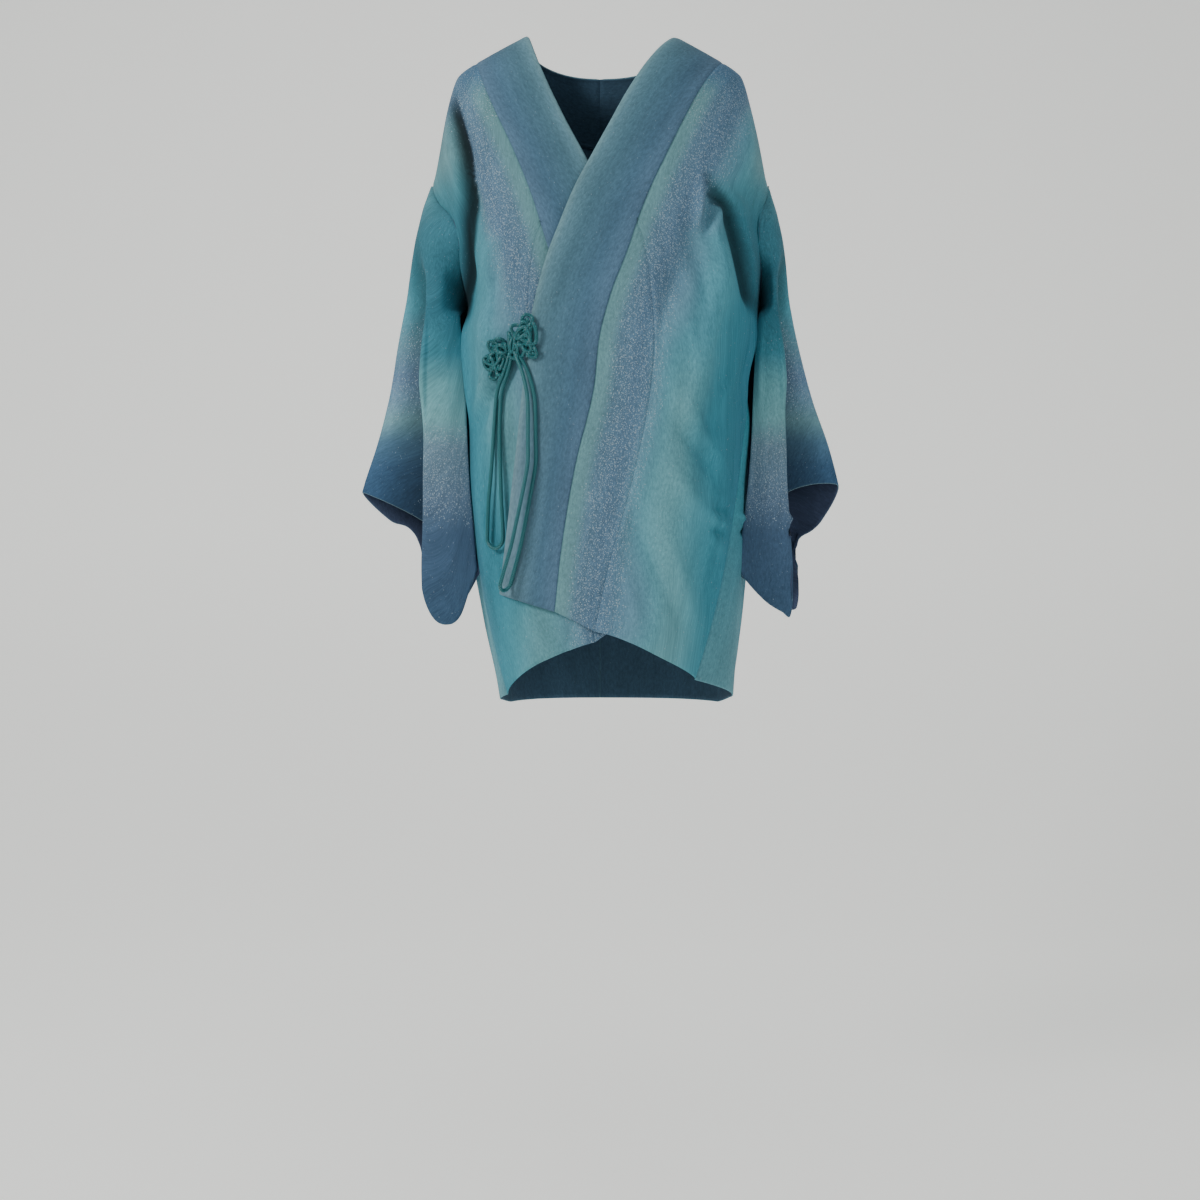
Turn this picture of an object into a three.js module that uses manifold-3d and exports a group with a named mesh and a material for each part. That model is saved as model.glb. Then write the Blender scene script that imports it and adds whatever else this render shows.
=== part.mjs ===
// A worn kimono coat with crossed fronts: a hollow shell of cut and sewn cloth, held up at the shoulders.
// Millimetres. X runs to the wearer's left, the front faces -Y, Z is up.
// The origin is the point between the shoulders, level with the collar seam on the shoulder ridge.
import * as THREE from 'three';
import { mergeVertices } from 'three/addons/utils/BufferGeometryUtils.js';
import Module from 'manifold-3d';

const wasm = await Module();
wasm.setup();

// Cloth and seams
const CLOTH = 2;
const BAND = 2.6;
const SEAM_GAP = 0.35;
const OVERLAP_LIFT = 7;
const COLLAR_LIFT = 1;

// The general figure that fills the coat: half widths to the wearer's right and left, and depths, by height
const FIGURE = [
  { z: 100, right: 205, left: 205, front: 112, back: 138 },
  { z: -60, right: 205, left: 205, front: 116, back: 140 },
  { z: -138, right: 205, left: 206, front: 124, back: 140 },
  { z: -200, right: 186, left: 196, front: 131, back: 138 },
  { z: -285, right: 157, left: 189, front: 134, back: 138 },
  { z: -330, right: 162, left: 184, front: 133, back: 142 },
  { z: -380, right: 159, left: 174, front: 132, back: 148 },
  { z: -430, right: 157, left: 179, front: 131, back: 149 },
  { z: -510, right: 155, left: 174, front: 130, back: 146 },
  { z: -600, right: 145, left: 170, front: 128, back: 141 },
  { z: -700, right: 127, left: 162, front: 124, back: 134 },
  { z: -770, right: 117, left: 157, front: 120, back: 129 },
];
const SQUARENESS = 2.5;
const SHOULDER_ROUND = 100;

// The shoulder ridge from the collar seam (share 0) out and down to the top of the armhole (share 1)
const RIDGE = [
  { share: 0, x: 148, z: 0 },
  { share: 0.3, x: 161, z: -8 },
  { share: 0.45, x: 169, z: -17 },
  { share: 0.6, x: 176, z: -38 },
  { share: 0.75, x: 184, z: -70 },
  { share: 0.88, x: 192, z: -106 },
  { share: 1, x: 200, z: -140 },
];
const NECK_SLOPE = 0.5;
const RIDGE_BLEND = 90;

// Front openings by height of the collar seam: the seam, the free edge of the collar band, and how
// much higher the free edge lies than the seam on the same line across the band
const LEFT_COLLAR = [
  { z: 0, seam: 148, free: 94, lead: 27 },
  { z: -54, seam: 117, free: 62, lead: 31 },
  { z: -105, seam: 91, free: 31, lead: 34 },
  { z: -145, seam: 72, free: 10, lead: 35 },
  { z: -175, seam: 58, free: -6, lead: 35 },
  { z: -215, seam: 42, free: -27, lead: 35 },
  { z: -254, seam: 29, free: -44, lead: 33 },
  { z: -295, seam: 13, free: -61, lead: 30 },
  { z: -346, seam: -1, free: -76, lead: 22 },
  { z: -407, seam: -8, free: -85, lead: 15 },
  { z: -489, seam: -28, free: -94, lead: 15 },
  { z: -577, seam: -43, free: -105, lead: 15 },
  { z: -648, seam: -51, free: -114, lead: 19 },
];
const RIGHT_COLLAR = [
  { z: 0, seam: -148, free: -88, lead: 30 },
  { z: -65, seam: -127, free: -70, lead: 32 },
  { z: -130, seam: -98, free: -42, lead: 34 },
  { z: -186, seam: -76, free: -13, lead: 34 },
  { z: -253, seam: -55, free: 20, lead: 32 },
  { z: -295, seam: -38, free: 38, lead: 30 },
  { z: -346, seam: -20, free: 54, lead: 22 },
  { z: -407, seam: -6, free: 66, lead: 15 },
  { z: -489, seam: 12, free: 78, lead: 15 },
  { z: -577, seam: 27, free: 90, lead: 15 },
  { z: -648, seam: 38, free: 101, lead: 19 },
];

// The seam between each front and its overlap panel, from the point where the panel starts
const LEFT_OVERLAP = [
  { z: -222, x: 43 },
  { z: -250, x: 50 },
  { z: -300, x: 57 },
  { z: -350, x: 60 },
  { z: -395, x: 57 },
  { z: -440, x: 50 },
  { z: -487, x: 40 },
  { z: -538, x: 27 },
  { z: -597, x: 10 },
  { z: -680, x: -8 },
];
const RIGHT_OVERLAP = [
  { z: -222, x: -68 },
  { z: -250, x: -75 },
  { z: -300, x: -80 },
  { z: -350, x: -78 },
  { z: -395, x: -72 },
  { z: -440, x: -62 },
  { z: -487, x: -50 },
  { z: -538, x: -37 },
  { z: -597, x: -22 },
  { z: -680, x: -6 },
];
const OVERLAP_TOP = -222;

// Side edges of the fronts and backs: how far they lie before and behind the line of the side,
// along the armhole down to the underarm, then along the seam to the gusset
const UNDERARM = -285;
const LEFT_SIDE = [
  { z: -140, front: 2, back: 2 },
  { z: -182, front: 68, back: 66 },
  { z: -227, front: 57, back: 60 },
  { z: -285, front: 4, back: 4 },
  { z: -330, front: 16, back: 14 },
  { z: -380, front: 36, back: 25 },
  { z: -444, front: 62, back: 35 },
  { z: -500, front: 68, back: 40 },
  { z: -561, front: 79, back: 45 },
  { z: -649, front: 92, back: 52 },
  { z: -730, front: 103, back: 58 },
  { z: -770, front: 106, back: 60 },
];
const RIGHT_SIDE = [
  { z: -140, front: 2, back: 2 },
  { z: -182, front: 74, back: 72 },
  { z: -227, front: 72, back: 66 },
  { z: -285, front: 4, back: 4 },
  { z: -330, front: 9, back: 12 },
  { z: -380, front: 12, back: 20 },
  { z: -444, front: 16, back: 30 },
  { z: -510, front: 22, back: 37 },
  { z: -600, front: 32, back: 46 },
  { z: -700, front: 55, back: 54 },
  { z: -735, front: 68, back: 56 },
  { z: -770, front: 78, back: 58 },
];

// Hems by width: the crossed fronts rise to their free edges, and the back hangs level
const LEFT_HEM = [
  { x: -51, z: -648 },
  { x: -6, z: -670 },
  { x: 44, z: -697 },
  { x: 106, z: -726 },
  { x: 157, z: -760 },
];
const RIGHT_HEM = [
  { x: -117, z: -760 },
  { x: -101, z: -741 },
  { x: -57, z: -713 },
  { x: -8, z: -682 },
  { x: 38, z: -650 },
];
const BACK_HEM = -762;

// Neck edge of the backs: it falls from the shoulder ridge to the centre back seam in a few rows of the panel.
// The collar stands up behind it, with its free edge at this depth and height at the centre back
const NECK_ROWS = 5;
const COLLAR_BACK = { y: 112, z: 32 };

// Largest folds of the body: a line from end to end, its half width, and its rise, less than 0 in a trough
const FOLDS = [
  { side: 'front', x1: 120, z1: -190, x2: 70, z2: -330, half: 16, rise: -5 },
  { side: 'front', x1: 150, z1: -230, x2: 110, z2: -420, half: 18, rise: 5 },
  { side: 'front', x1: 150, z1: -400, x2: 90, z2: -560, half: 18, rise: -4 },
  { side: 'front', x1: 135, z1: -520, x2: 60, z2: -680, half: 20, rise: 4 },
  { side: 'front', x1: -120, z1: -200, x2: -90, z2: -400, half: 16, rise: -5 },
  { side: 'front', x1: -130, z1: -330, x2: -125, z2: -620, half: 14, rise: 4 },
  { side: 'back', x1: -130, z1: -120, x2: -90, z2: -330, half: 18, rise: -5 },
  { side: 'back', x1: 130, z1: -120, x2: 85, z2: -330, half: 18, rise: -5 },
  { side: 'back', x1: -70, z1: -420, x2: -85, z2: -740, half: 22, rise: 5 },
  { side: 'back', x1: 75, z1: -430, x2: 95, z2: -740, half: 22, rise: 5 },
];

// Smooth value of a named column at a place in a table
function at(rows, by, column, place) {
  const down = rows[0][by] > rows[rows.length - 1][by];
  const order = down ? -1 : 1;
  let i = 0;
  while (i < rows.length - 2 && order * place > order * rows[i + 1][by]) i += 1;
  const slope = (j) => {
    const a = rows[Math.max(j - 1, 0)];
    const b = rows[Math.min(j + 1, rows.length - 1)];
    return (b[column] - a[column]) / (b[by] - a[by]);
  };
  const start = rows[i];
  const end = rows[i + 1];
  const span = end[by] - start[by];
  const share = (place - start[by]) / span;
  if (share < 0) return start[column] + slope(0) * (place - start[by]);
  if (share > 1) return end[column] + slope(i + 1) * (place - end[by]);
  const t = share;
  return (2 * t ** 3 - 3 * t ** 2 + 1) * start[column] + (t ** 3 - 2 * t ** 2 + t) * span * slope(i)
    + (3 * t ** 2 - 2 * t ** 3) * end[column] + (t ** 3 - t ** 2) * span * slope(i + 1);
}

const mix = (a, b, share) => a + (b - a) * share;

function smooth(low, high, value) {
  const t = Math.min(Math.max((value - low) / (high - low), 0), 1);
  return t * t * (3 - 2 * t);
}

// Height of the shoulder ridge, which goes on up towards the neck inside the collar seam
function ridgeHeight(x) {
  const inner = RIDGE[0];
  if (Math.abs(x) < inner.x) return inner.z + (inner.x - Math.abs(x)) * NECK_SLOPE;
  return at(RIDGE, 'x', 'z', Math.abs(x));
}

function halfWidth(x, z) {
  return at(FIGURE, 'z', x < 0 ? 'right' : 'left', z);
}

function foldRise(side, x, z) {
  let rise = 0;
  for (const fold of FOLDS) {
    if (fold.side !== side) continue;
    const dx = fold.x2 - fold.x1;
    const dz = fold.z2 - fold.z1;
    const length = Math.hypot(dx, dz);
    const along = ((x - fold.x1) * dx + (z - fold.z1) * dz) / length ** 2;
    const across = ((x - fold.x1) * dz - (z - fold.z1) * dx) / length;
    const ends = smooth(-0.1, 0.3, along) * smooth(1.15, 0.7, along);
    rise += fold.rise * ends * Math.exp(-((across / fold.half) ** 2));
  }
  return rise;
}

// Depth of the figure at a width and height: 0 on its side and on the shoulder ridge
function depth(side, x, z) {
  const across = Math.min(Math.abs(x) / halfWidth(x, z), 1);
  const section = (1 - across ** SQUARENESS) ** (1 / SQUARENESS);
  const drop = Math.min(Math.max((ridgeHeight(x) - z) / SHOULDER_ROUND, 0), 1);
  const shoulder = Math.sqrt(1 - (1 - drop) ** 2);
  const fold = foldRise(side, x, z) * smooth(0, 0.5, section);
  return at(FIGURE, 'z', side, z) * section * shoulder + fold;
}

function figurePoint(side, x, z, lift) {
  const y = depth(side, x, z) + lift;
  return new THREE.Vector3(x, side === 'front' ? -y : y, z);
}

// Angle round the section, 0 at the centre of the front or back, and back to a width
function bend(x, z) {
  return Math.sign(x) * Math.asin(Math.min(Math.abs(x) / halfWidth(x, z), 1) ** (SQUARENESS / 2));
}

function unbend(angle, z) {
  return Math.sign(angle) * halfWidth(angle, z) * Math.sin(Math.abs(angle)) ** (2 / SQUARENESS);
}

// The top layer stands off the under layer, less and less towards its side seam
function overlapLift(x) {
  return OVERLAP_LIFT * smooth(165, 80, x);
}

// A closed wall of cloth: a grid of outer points, the same grid moved in by the thickness, and a rim.
// Each square of the grid is cut along its shorter diagonal
function wall(place, columns, rows, thickness) {
  const grid = [];
  for (let r = 0; r <= rows; r += 1) {
    const line = [];
    for (let c = 0; c <= columns; c += 1) line.push(place(c / columns, r / rows));
    grid.push(line);
  }
  const normal = (r, c) => {
    const across = grid[r][Math.min(c + 1, columns)].clone().sub(grid[r][Math.max(c - 1, 0)]);
    const down = grid[Math.min(r + 1, rows)][c].clone().sub(grid[Math.max(r - 1, 0)][c]);
    return down.cross(across).normalize();
  };
  const corners = [];
  for (let r = 0; r <= rows; r += 1) {
    for (let c = 0; c <= columns; c += 1) {
      const outer = grid[r][c];
      const inner = outer.clone().addScaledVector(normal(r, c), -thickness);
      corners.push(outer, inner);
    }
  }
  const outerAt = (r, c) => 2 * (r * (columns + 1) + c);
  const innerAt = (r, c) => outerAt(r, c) + 1;
  const faces = [];
  const quad = (a, b, c, d, turned = false) => {
    if (turned) faces.push(a, d, b, b, d, c);
    else faces.push(a, c, b, a, d, c);
  };
  for (let r = 0; r < rows; r += 1) {
    for (let c = 0; c < columns; c += 1) {
      const turned = grid[r][c].distanceTo(grid[r + 1][c + 1]) > grid[r][c + 1].distanceTo(grid[r + 1][c]);
      quad(outerAt(r, c), outerAt(r, c + 1), outerAt(r + 1, c + 1), outerAt(r + 1, c), turned);
      quad(innerAt(r, c), innerAt(r + 1, c), innerAt(r + 1, c + 1), innerAt(r, c + 1), turned);
    }
  }
  for (let c = 0; c < columns; c += 1) {
    quad(outerAt(0, c), innerAt(0, c), innerAt(0, c + 1), outerAt(0, c + 1));
    quad(outerAt(rows, c), outerAt(rows, c + 1), innerAt(rows, c + 1), innerAt(rows, c));
  }
  for (let r = 0; r < rows; r += 1) {
    quad(outerAt(r, 0), outerAt(r + 1, 0), innerAt(r + 1, 0), innerAt(r, 0));
    quad(outerAt(r, columns), innerAt(r, columns), innerAt(r + 1, columns), outerAt(r + 1, columns));
  }
  const geometry = new THREE.BufferGeometry();
  const values = new Float32Array(corners.flatMap((corner) => [corner.x, corner.y, corner.z]));
  geometry.setAttribute('position', new THREE.BufferAttribute(values, 3));
  geometry.setIndex(faces);
  return geometry;
}

// Body panels: one length of cloth for each side, from the front hem over the shoulder to the back hem
const BODY_COLUMNS = 10;
const BODY_ROWS = 24;
const BODY_HEM_X = { left: { inner: -6, outer: 100 }, right: { inner: -8, outer: -103 } };

// Rows crowd at the shoulder ridge, where the cloth turns over
function rowHeight(top, bottom, along) {
  return mix(top, bottom, along ** 2 * (1.5 - 0.5 * along ** 2));
}

const NECK_BOTTOM = rowHeight(RIDGE[0].z, BACK_HEM, NECK_ROWS / BODY_ROWS);

function neckEdge(z) {
  const share = (RIDGE[0].z - z) / (RIDGE[0].z - NECK_BOTTOM);
  return share < 1 ? Math.max(RIDGE[0].x * Math.cos(share * Math.PI / 2) ** 0.9, SEAM_GAP / 2) : SEAM_GAP / 2;
}

function innerEdge(hand, side, z) {
  if (side === 'back') return hand * neckEdge(z);
  const collar = hand < 0 ? RIGHT_COLLAR : LEFT_COLLAR;
  const overlap = hand < 0 ? RIGHT_OVERLAP : LEFT_OVERLAP;
  const seam = z > OVERLAP_TOP ? at(collar, 'z', 'seam', z) : at(overlap, 'z', 'x', z);
  return seam + hand * SEAM_GAP;
}

function outerAngle(hand, side, z) {
  const sides = hand < 0 ? RIGHT_SIDE : LEFT_SIDE;
  const share = at(sides, 'z', side, z) / at(FIGURE, 'z', side, z);
  return hand * Math.acos(Math.max(share, 0) ** (SQUARENESS / 2));
}

function hemHeight(hand, side, x) {
  if (side === 'back') return BACK_HEM;
  return at(hand < 0 ? RIGHT_HEM : LEFT_HEM, 'x', 'z', x);
}

// share runs from the centre edge to the side edge, and top is where its line leaves the shoulder ridge
function bodyPlace(hand, side, share, top, z) {
  const inner = innerEdge(hand, side, z);
  const angle = mix(bend(inner, z), outerAngle(hand, side, z), share);
  const shift = bend(inner, z) - bend(innerEdge(hand, side, top.z), top.z);
  const fromRidge = bend(hand * top.x, top.z) + shift * (1 - share);
  const x = unbend(mix(fromRidge, angle, smooth(0, RIDGE_BLEND, top.z - z)), z);
  const lift = hand > 0 && side === 'front' ? overlapLift(x) * smooth(0, RIDGE_BLEND, top.z - z) : 0;
  return figurePoint(side, x, z, lift);
}

function bodyPanel(hand) {
  const width = hand < 0 ? BODY_HEM_X.right : BODY_HEM_X.left;
  const place = (u, v) => {
    const side = v > 0.5 ? 'front' : 'back';
    const along = Math.abs(v - 0.5) * 2;
    const share = hand < 0 ? 1 - u : u;
    const top = { x: at(RIDGE, 'share', 'x', share), z: at(RIDGE, 'share', 'z', share) };
    const hem = hemHeight(hand, side, mix(width.inner, width.outer, share));
    return bodyPlace(hand, side, share, top, rowHeight(top.z, hem, along));
  };
  return wall(place, BODY_COLUMNS, 2 * BODY_ROWS, CLOTH);
}

// Overlap panels: a strip between the collar seam and the front, from a point down to the hem
const STRIP_START = 12;
const STRIP_GAP = 0.7;
const STRIP_HEM_X = { left: { inner: -51, outer: -6 }, right: { inner: 38, outer: -8 } };

function overlapPanel(hand) {
  const collar = hand < 0 ? RIGHT_COLLAR : LEFT_COLLAR;
  const overlap = hand < 0 ? RIGHT_OVERLAP : LEFT_OVERLAP;
  const width = hand < 0 ? STRIP_HEM_X.right : STRIP_HEM_X.left;
  const place = (u, v) => {
    const share = hand < 0 ? 1 - u : u;
    const z = mix(OVERLAP_TOP - STRIP_START, hemHeight(hand, 'front', mix(width.inner, width.outer, share)), v);
    const seam = at(collar, 'z', 'seam', z) + hand * SEAM_GAP;
    const x = mix(seam, at(overlap, 'z', 'x', z) - hand * STRIP_GAP, share);
    return figurePoint('front', x, z, hand > 0 ? overlapLift(x) : 0);
  };
  return wall(place, 5, 18, CLOTH);
}

// Gussets: a long wedge from the underarm to the hem, between the front and the back
const GUSSET_GAP = 0.011;
const GUSSET_START = 14;

function gusset(hand) {
  const place = (u, v) => {
    const share = hand < 0 ? 1 - u : u;
    const z = mix(UNDERARM - GUSSET_START, mix(hemHeight(hand, 'front', 104 * hand), BACK_HEM, share), v);
    const front = Math.abs(outerAngle(hand, 'front', z)) + GUSSET_GAP;
    const back = Math.PI - Math.abs(outerAngle(hand, 'back', z)) - GUSSET_GAP;
    const angle = mix(front, back, share);
    const side = angle < Math.PI / 2 ? 'front' : 'back';
    const fromCentre = side === 'front' ? angle : Math.PI - angle;
    const x = unbend(hand * fromCentre, z);
    return figurePoint(side, x, z, hand > 0 && side === 'front' ? overlapLift(x) : 0);
  };
  return wall(place, 6, 20, CLOTH);
}

// Collar: a folded band from the bottom of each front, up over the shoulder ridge to the centre back
const COLLAR_ROWS = { front: 28, neck: 2 * NECK_ROWS };
const COLLAR_CENTRE = 0.45;
const COLLAR_GAP = 0.7;

function collarFront(hand, across, fall) {
  const table = hand < 0 ? RIGHT_COLLAR : LEFT_COLLAR;
  const ridge = table[0];
  const z = rowHeight(ridge.z, table[table.length - 1].z, fall);
  const seam = at(table, 'z', 'seam', z) - hand * COLLAR_GAP;
  const x = mix(seam, at(table, 'z', 'free', z), across);
  const height = z + at(table, 'z', 'lead', z) * across;
  const settled = smooth(0, RIDGE_BLEND, ridge.z - z);
  const layer = hand > 0 ? overlapLift(x) * settled : 0;
  return figurePoint('front', x, height, layer + COLLAR_LIFT * settled);
}

function neckSeam(hand, row) {
  const z = rowHeight(RIDGE[0].z, BACK_HEM, row / BODY_ROWS);
  return figurePoint('back', hand * neckEdge(z), z, 0);
}

function collarNeck(hand, across, round) {
  const ridge = (hand < 0 ? RIGHT_COLLAR : LEFT_COLLAR)[0];
  const row = Math.min(Math.floor(round * NECK_ROWS), NECK_ROWS - 1);
  const seam = neckSeam(hand, row).lerp(neckSeam(hand, row + 1), round * NECK_ROWS - row);
  const turn = Math.atan2(seam.y / neckSeam(hand, NECK_ROWS).y, Math.abs(seam.x) / ridge.seam * hand);
  const freeX = Math.max(Math.abs(ridge.free) * Math.cos(turn), COLLAR_CENTRE);
  const freeZ = mix(ridge.z + ridge.lead, COLLAR_BACK.z, round);
  const free = new THREE.Vector3(hand * freeX, COLLAR_BACK.y * Math.sin(turn), freeZ);
  const inward = SEAM_GAP * smooth(1, 0.8, round);
  seam.add(new THREE.Vector3(-hand * inward, 0, 2 * SEAM_GAP));
  seam.x = hand * Math.max(Math.abs(seam.x), COLLAR_CENTRE);
  return seam.lerp(free, across);
}

function collar(hand) {
  const rows = COLLAR_ROWS.front + COLLAR_ROWS.neck;
  const ridgeRow = COLLAR_ROWS.neck / rows;
  const place = (u, v) => {
    const across = hand > 0 ? 1 - u : u;
    if (v < ridgeRow) return collarNeck(hand, across, 1 - v / ridgeRow);
    return collarFront(hand, across, (v - ridgeRow) / (1 - ridgeRow));
  };
  return wall(place, 4, rows, BAND);
}

// Sleeves: each is one sheet, from the front edge at the armhole round the outer fold to the back edge.
// Shares of the way round where the sheet turns: its front middle, the two turns of the pleat behind the
// front, the outer fold, the back edge of the cuff and the back middle
const TURNS = { front: 0, middle: 0.13, pleat: 0.26, valley: 0.37, outer: 0.56, cuff: 0.7, back: 0.86, edge: 1 };

// Widths of the sheet's turns from the centre, by height
const LEFT_SLEEVE = [
  { z: -144, front: 202, pleat: 202, valley: 203, outer: 202 },
  { z: -180, front: 182, pleat: 199, valley: 204, outer: 211 },
  { z: -230, front: 184, pleat: 203, valley: 206, outer: 222 },
  { z: -285, front: 191, pleat: 207, valley: 203, outer: 228 },
  { z: -340, front: 187, pleat: 209, valley: 200, outer: 240 },
  { z: -400, front: 184, pleat: 213, valley: 199, outer: 255 },
  { z: -450, front: 182, pleat: 216, valley: 200, outer: 271 },
  { z: -500, front: 178, pleat: 218, valley: 201, outer: 284 },
  { z: -560, front: 171, pleat: 222, valley: 202, outer: 296 },
  { z: -600, front: 167, pleat: 225, valley: 204, outer: 304 },
  { z: -660, front: 161, pleat: 224, valley: 206, outer: 312 },
];
const RIGHT_SLEEVE = [
  { z: -144, front: 202, pleat: 202, valley: 203, outer: 203 },
  { z: -180, front: 172, pleat: 198, valley: 204, outer: 214 },
  { z: -230, front: 165, pleat: 199, valley: 204, outer: 225 },
  { z: -285, front: 169, pleat: 202, valley: 198, outer: 233 },
  { z: -340, front: 165, pleat: 204, valley: 193, outer: 245 },
  { z: -400, front: 161, pleat: 205, valley: 190, outer: 255 },
  { z: -450, front: 159, pleat: 205, valley: 188, outer: 266 },
  { z: -500, front: 156, pleat: 206, valley: 188, outer: 281 },
  { z: -560, front: 151, pleat: 207, valley: 188, outer: 296 },
  { z: -600, front: 148, pleat: 208, valley: 188, outer: 304 },
  { z: -660, front: 140, pleat: 206, valley: 188, outer: 312 },
];

// Depths of the same turns: less than 0 lies before the line of the side
const SLEEVE_DEPTHS = [
  { z: -144, front: -14, pleat: -10, valley: -5, outer: 0, cuff: 5, back: 10, edge: 14 },
  { z: -180, front: -66, pleat: -52, valley: -36, outer: 0, cuff: 30, back: 48, edge: 62 },
  { z: -230, front: -64, pleat: -56, valley: -38, outer: 0, cuff: 34, back: 50, edge: 60 },
  { z: -285, front: -50, pleat: -52, valley: -34, outer: -2, cuff: 30, back: 44, edge: 50 },
  { z: -340, front: -48, pleat: -50, valley: -30, outer: -3, cuff: 28, back: 40, edge: 46 },
  { z: -400, front: -48, pleat: -50, valley: -28, outer: -5, cuff: 25, back: 36, edge: 42 },
  { z: -450, front: -50, pleat: -50, valley: -27, outer: -7, cuff: 20, back: 33, edge: 39 },
  { z: -520, front: -52, pleat: -50, valley: -27, outer: -9, cuff: 14, back: 28, edge: 35 },
  { z: -600, front: -46, pleat: -46, valley: -26, outer: -10, cuff: 6, back: 18, edge: 26 },
  { z: -665, front: -40, pleat: -42, valley: -26, outer: -12, cuff: 0, back: 8, edge: 16 },
];

// Lower edge of the sheet by the share of the way round: the rounded foot of the bag, and the cuff
const LEFT_SLEEVE_FOOT = [
  { share: 0, z: -601 },
  { share: 0.1, z: -628 },
  { share: 0.2, z: -649 },
  { share: 0.25, z: -650 },
  { share: 0.37, z: -528 },
  { share: 0.56, z: -498 },
  { share: 0.7, z: -550 },
  { share: 0.79, z: -572 },
  { share: 0.86, z: -646 },
  { share: 1, z: -603 },
];
const RIGHT_SLEEVE_FOOT = [
  { share: 0, z: -600 },
  { share: 0.05, z: -626 },
  { share: 0.1, z: -654 },
  { share: 0.15, z: -664 },
  { share: 0.2, z: -658 },
  { share: 0.26, z: -624 },
  { share: 0.37, z: -560 },
  { share: 0.56, z: -507 },
  { share: 0.7, z: -545 },
  { share: 0.8, z: -565 },
  { share: 0.87, z: -626 },
  { share: 0.93, z: -658 },
  { share: 1, z: -602 },
];
const SLEEVE_TOP = -144;
const SLEEVE_CROWDING = 1.35;
// The back layer comes forward to the foot seam below the cuff, and earlier along its open edge
const FOOT_SEAM = { y: -44, half: 2.5, start: -560, end: -640, edgeStart: -480, edgeEnd: -602 };
const CUFF_SPAN = { start: 0.24, full: 0.36, end: 0.7, closed: 0.8 };
const ARMHOLE_GAP = 2;

function armhole(hand, side, z) {
  const top = RIDGE[RIDGE.length - 1];
  const hem = hemHeight(hand, side, hand < 0 ? BODY_HEM_X.right.outer : BODY_HEM_X.left.outer);
  const height = (row) => rowHeight(top.z, hem, row / BODY_ROWS);
  let row = 0;
  while (height(row + 1) > z) row += 1;
  const start = bodyPlace(hand, side, 1, top, height(row));
  const end = bodyPlace(hand, side, 1, top, height(row + 1));
  return start.lerp(end, (height(row) - z) / (height(row) - height(row + 1)));
}

function sleeveSection(hand, z) {
  const widths = hand < 0 ? RIGHT_SLEEVE : LEFT_SLEEVE;
  const row = {};
  const deep = {};
  for (const turn of ['front', 'pleat', 'valley', 'outer']) row[turn] = at(widths, 'z', turn, z);
  for (const turn of ['front', 'pleat', 'valley', 'outer', 'cuff', 'back', 'edge']) {
    deep[turn] = at(SLEEVE_DEPTHS, 'z', turn, z);
  }
  row.edge = row.front + 9;
  const sewn = smooth(UNDERARM - 22, UNDERARM, z);
  const seams = [['front', 'front'], ['edge', 'back']];
  for (const [turn, side] of sewn > 0 ? seams : []) {
    const seam = armhole(hand, side, Math.max(z, UNDERARM));
    row[turn] = mix(row[turn], Math.abs(seam.x) + ARMHOLE_GAP, sewn);
    deep[turn] = mix(deep[turn], seam.y, sewn);
  }
  row.middle = (row.front + row.pleat) / 2;
  row.cuff = mix(row.outer, row.pleat, 0.45 + 0.45 * smooth(-540, -600, z));
  row.back = row.pleat + 4;
  deep.middle = Math.min(deep.front, deep.pleat) - 4 * smooth(-200, -300, z);
  const cap = smooth(-275, -205, z);
  return Object.entries(TURNS).map(([turn, share]) => {
    const from = share < TURNS.outer ? 'front' : 'edge';
    const round = share < TURNS.outer ? share / TURNS.outer : (1 - share) / (1 - TURNS.outer);
    const capX = mix(row[from], row.outer, Math.sin(round * Math.PI / 2) ** 0.85);
    const capY = deep[from] * Math.cos(round * Math.PI / 2);
    return { share, x: mix(row[turn], capX, cap), y: mix(deep[turn], capY, cap) };
  });
}

function sleevePoint(hand, share, along) {
  const foot = at(hand < 0 ? RIGHT_SLEEVE_FOOT : LEFT_SLEEVE_FOOT, 'share', 'z', share);
  const z = mix(SLEEVE_TOP, foot, along ** SLEEVE_CROWDING);
  const points = sleeveSection(hand, z);
  const x = at(points, 'share', 'x', share);
  const y = at(points, 'share', 'y', share);
  const closed = smooth(CUFF_SPAN.full, CUFF_SPAN.start, share) + smooth(CUFF_SPAN.end, CUFF_SPAN.closed, share);
  const layer = share < 0.5 ? -FOOT_SEAM.half : FOOT_SEAM.half;
  const start = mix(FOOT_SEAM.start, FOOT_SEAM.edgeStart, smooth(0.88, 1, share));
  const end = mix(FOOT_SEAM.end, FOOT_SEAM.edgeEnd, smooth(0.93, 1, share));
  const pinched = closed * smooth(start, end, z);
  return new THREE.Vector3(hand * x, mix(y, FOOT_SEAM.y + layer, pinched), z);
}

function sleeve(hand) {
  return wall((u, v) => sleevePoint(hand, hand < 0 ? 1 - u : u, v), 26, 17, CLOTH);
}

// Fastening: a flower knot of round cord on each front, joined by a clasp knot, and two hanging loops
const CORD = 4;
const CORD_SIDES = 8;
const KNOTS = {
  right: { x: -118, z: -360, width: 31, height: 47, lift: 0 },
  left: { x: -81, z: -341, width: 32, height: 46, lift: OVERLAP_LIFT + COLLAR_LIFT },
};
const CLASP = { x: -92, z: -358, width: 11, height: 24, thick: 9, lift: OVERLAP_LIFT + COLLAR_LIFT };
const KNOT = { thick: 10, petals: 7, seat: 0.7, boss: 0.33, sides: 5, steps: 10 };

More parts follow.
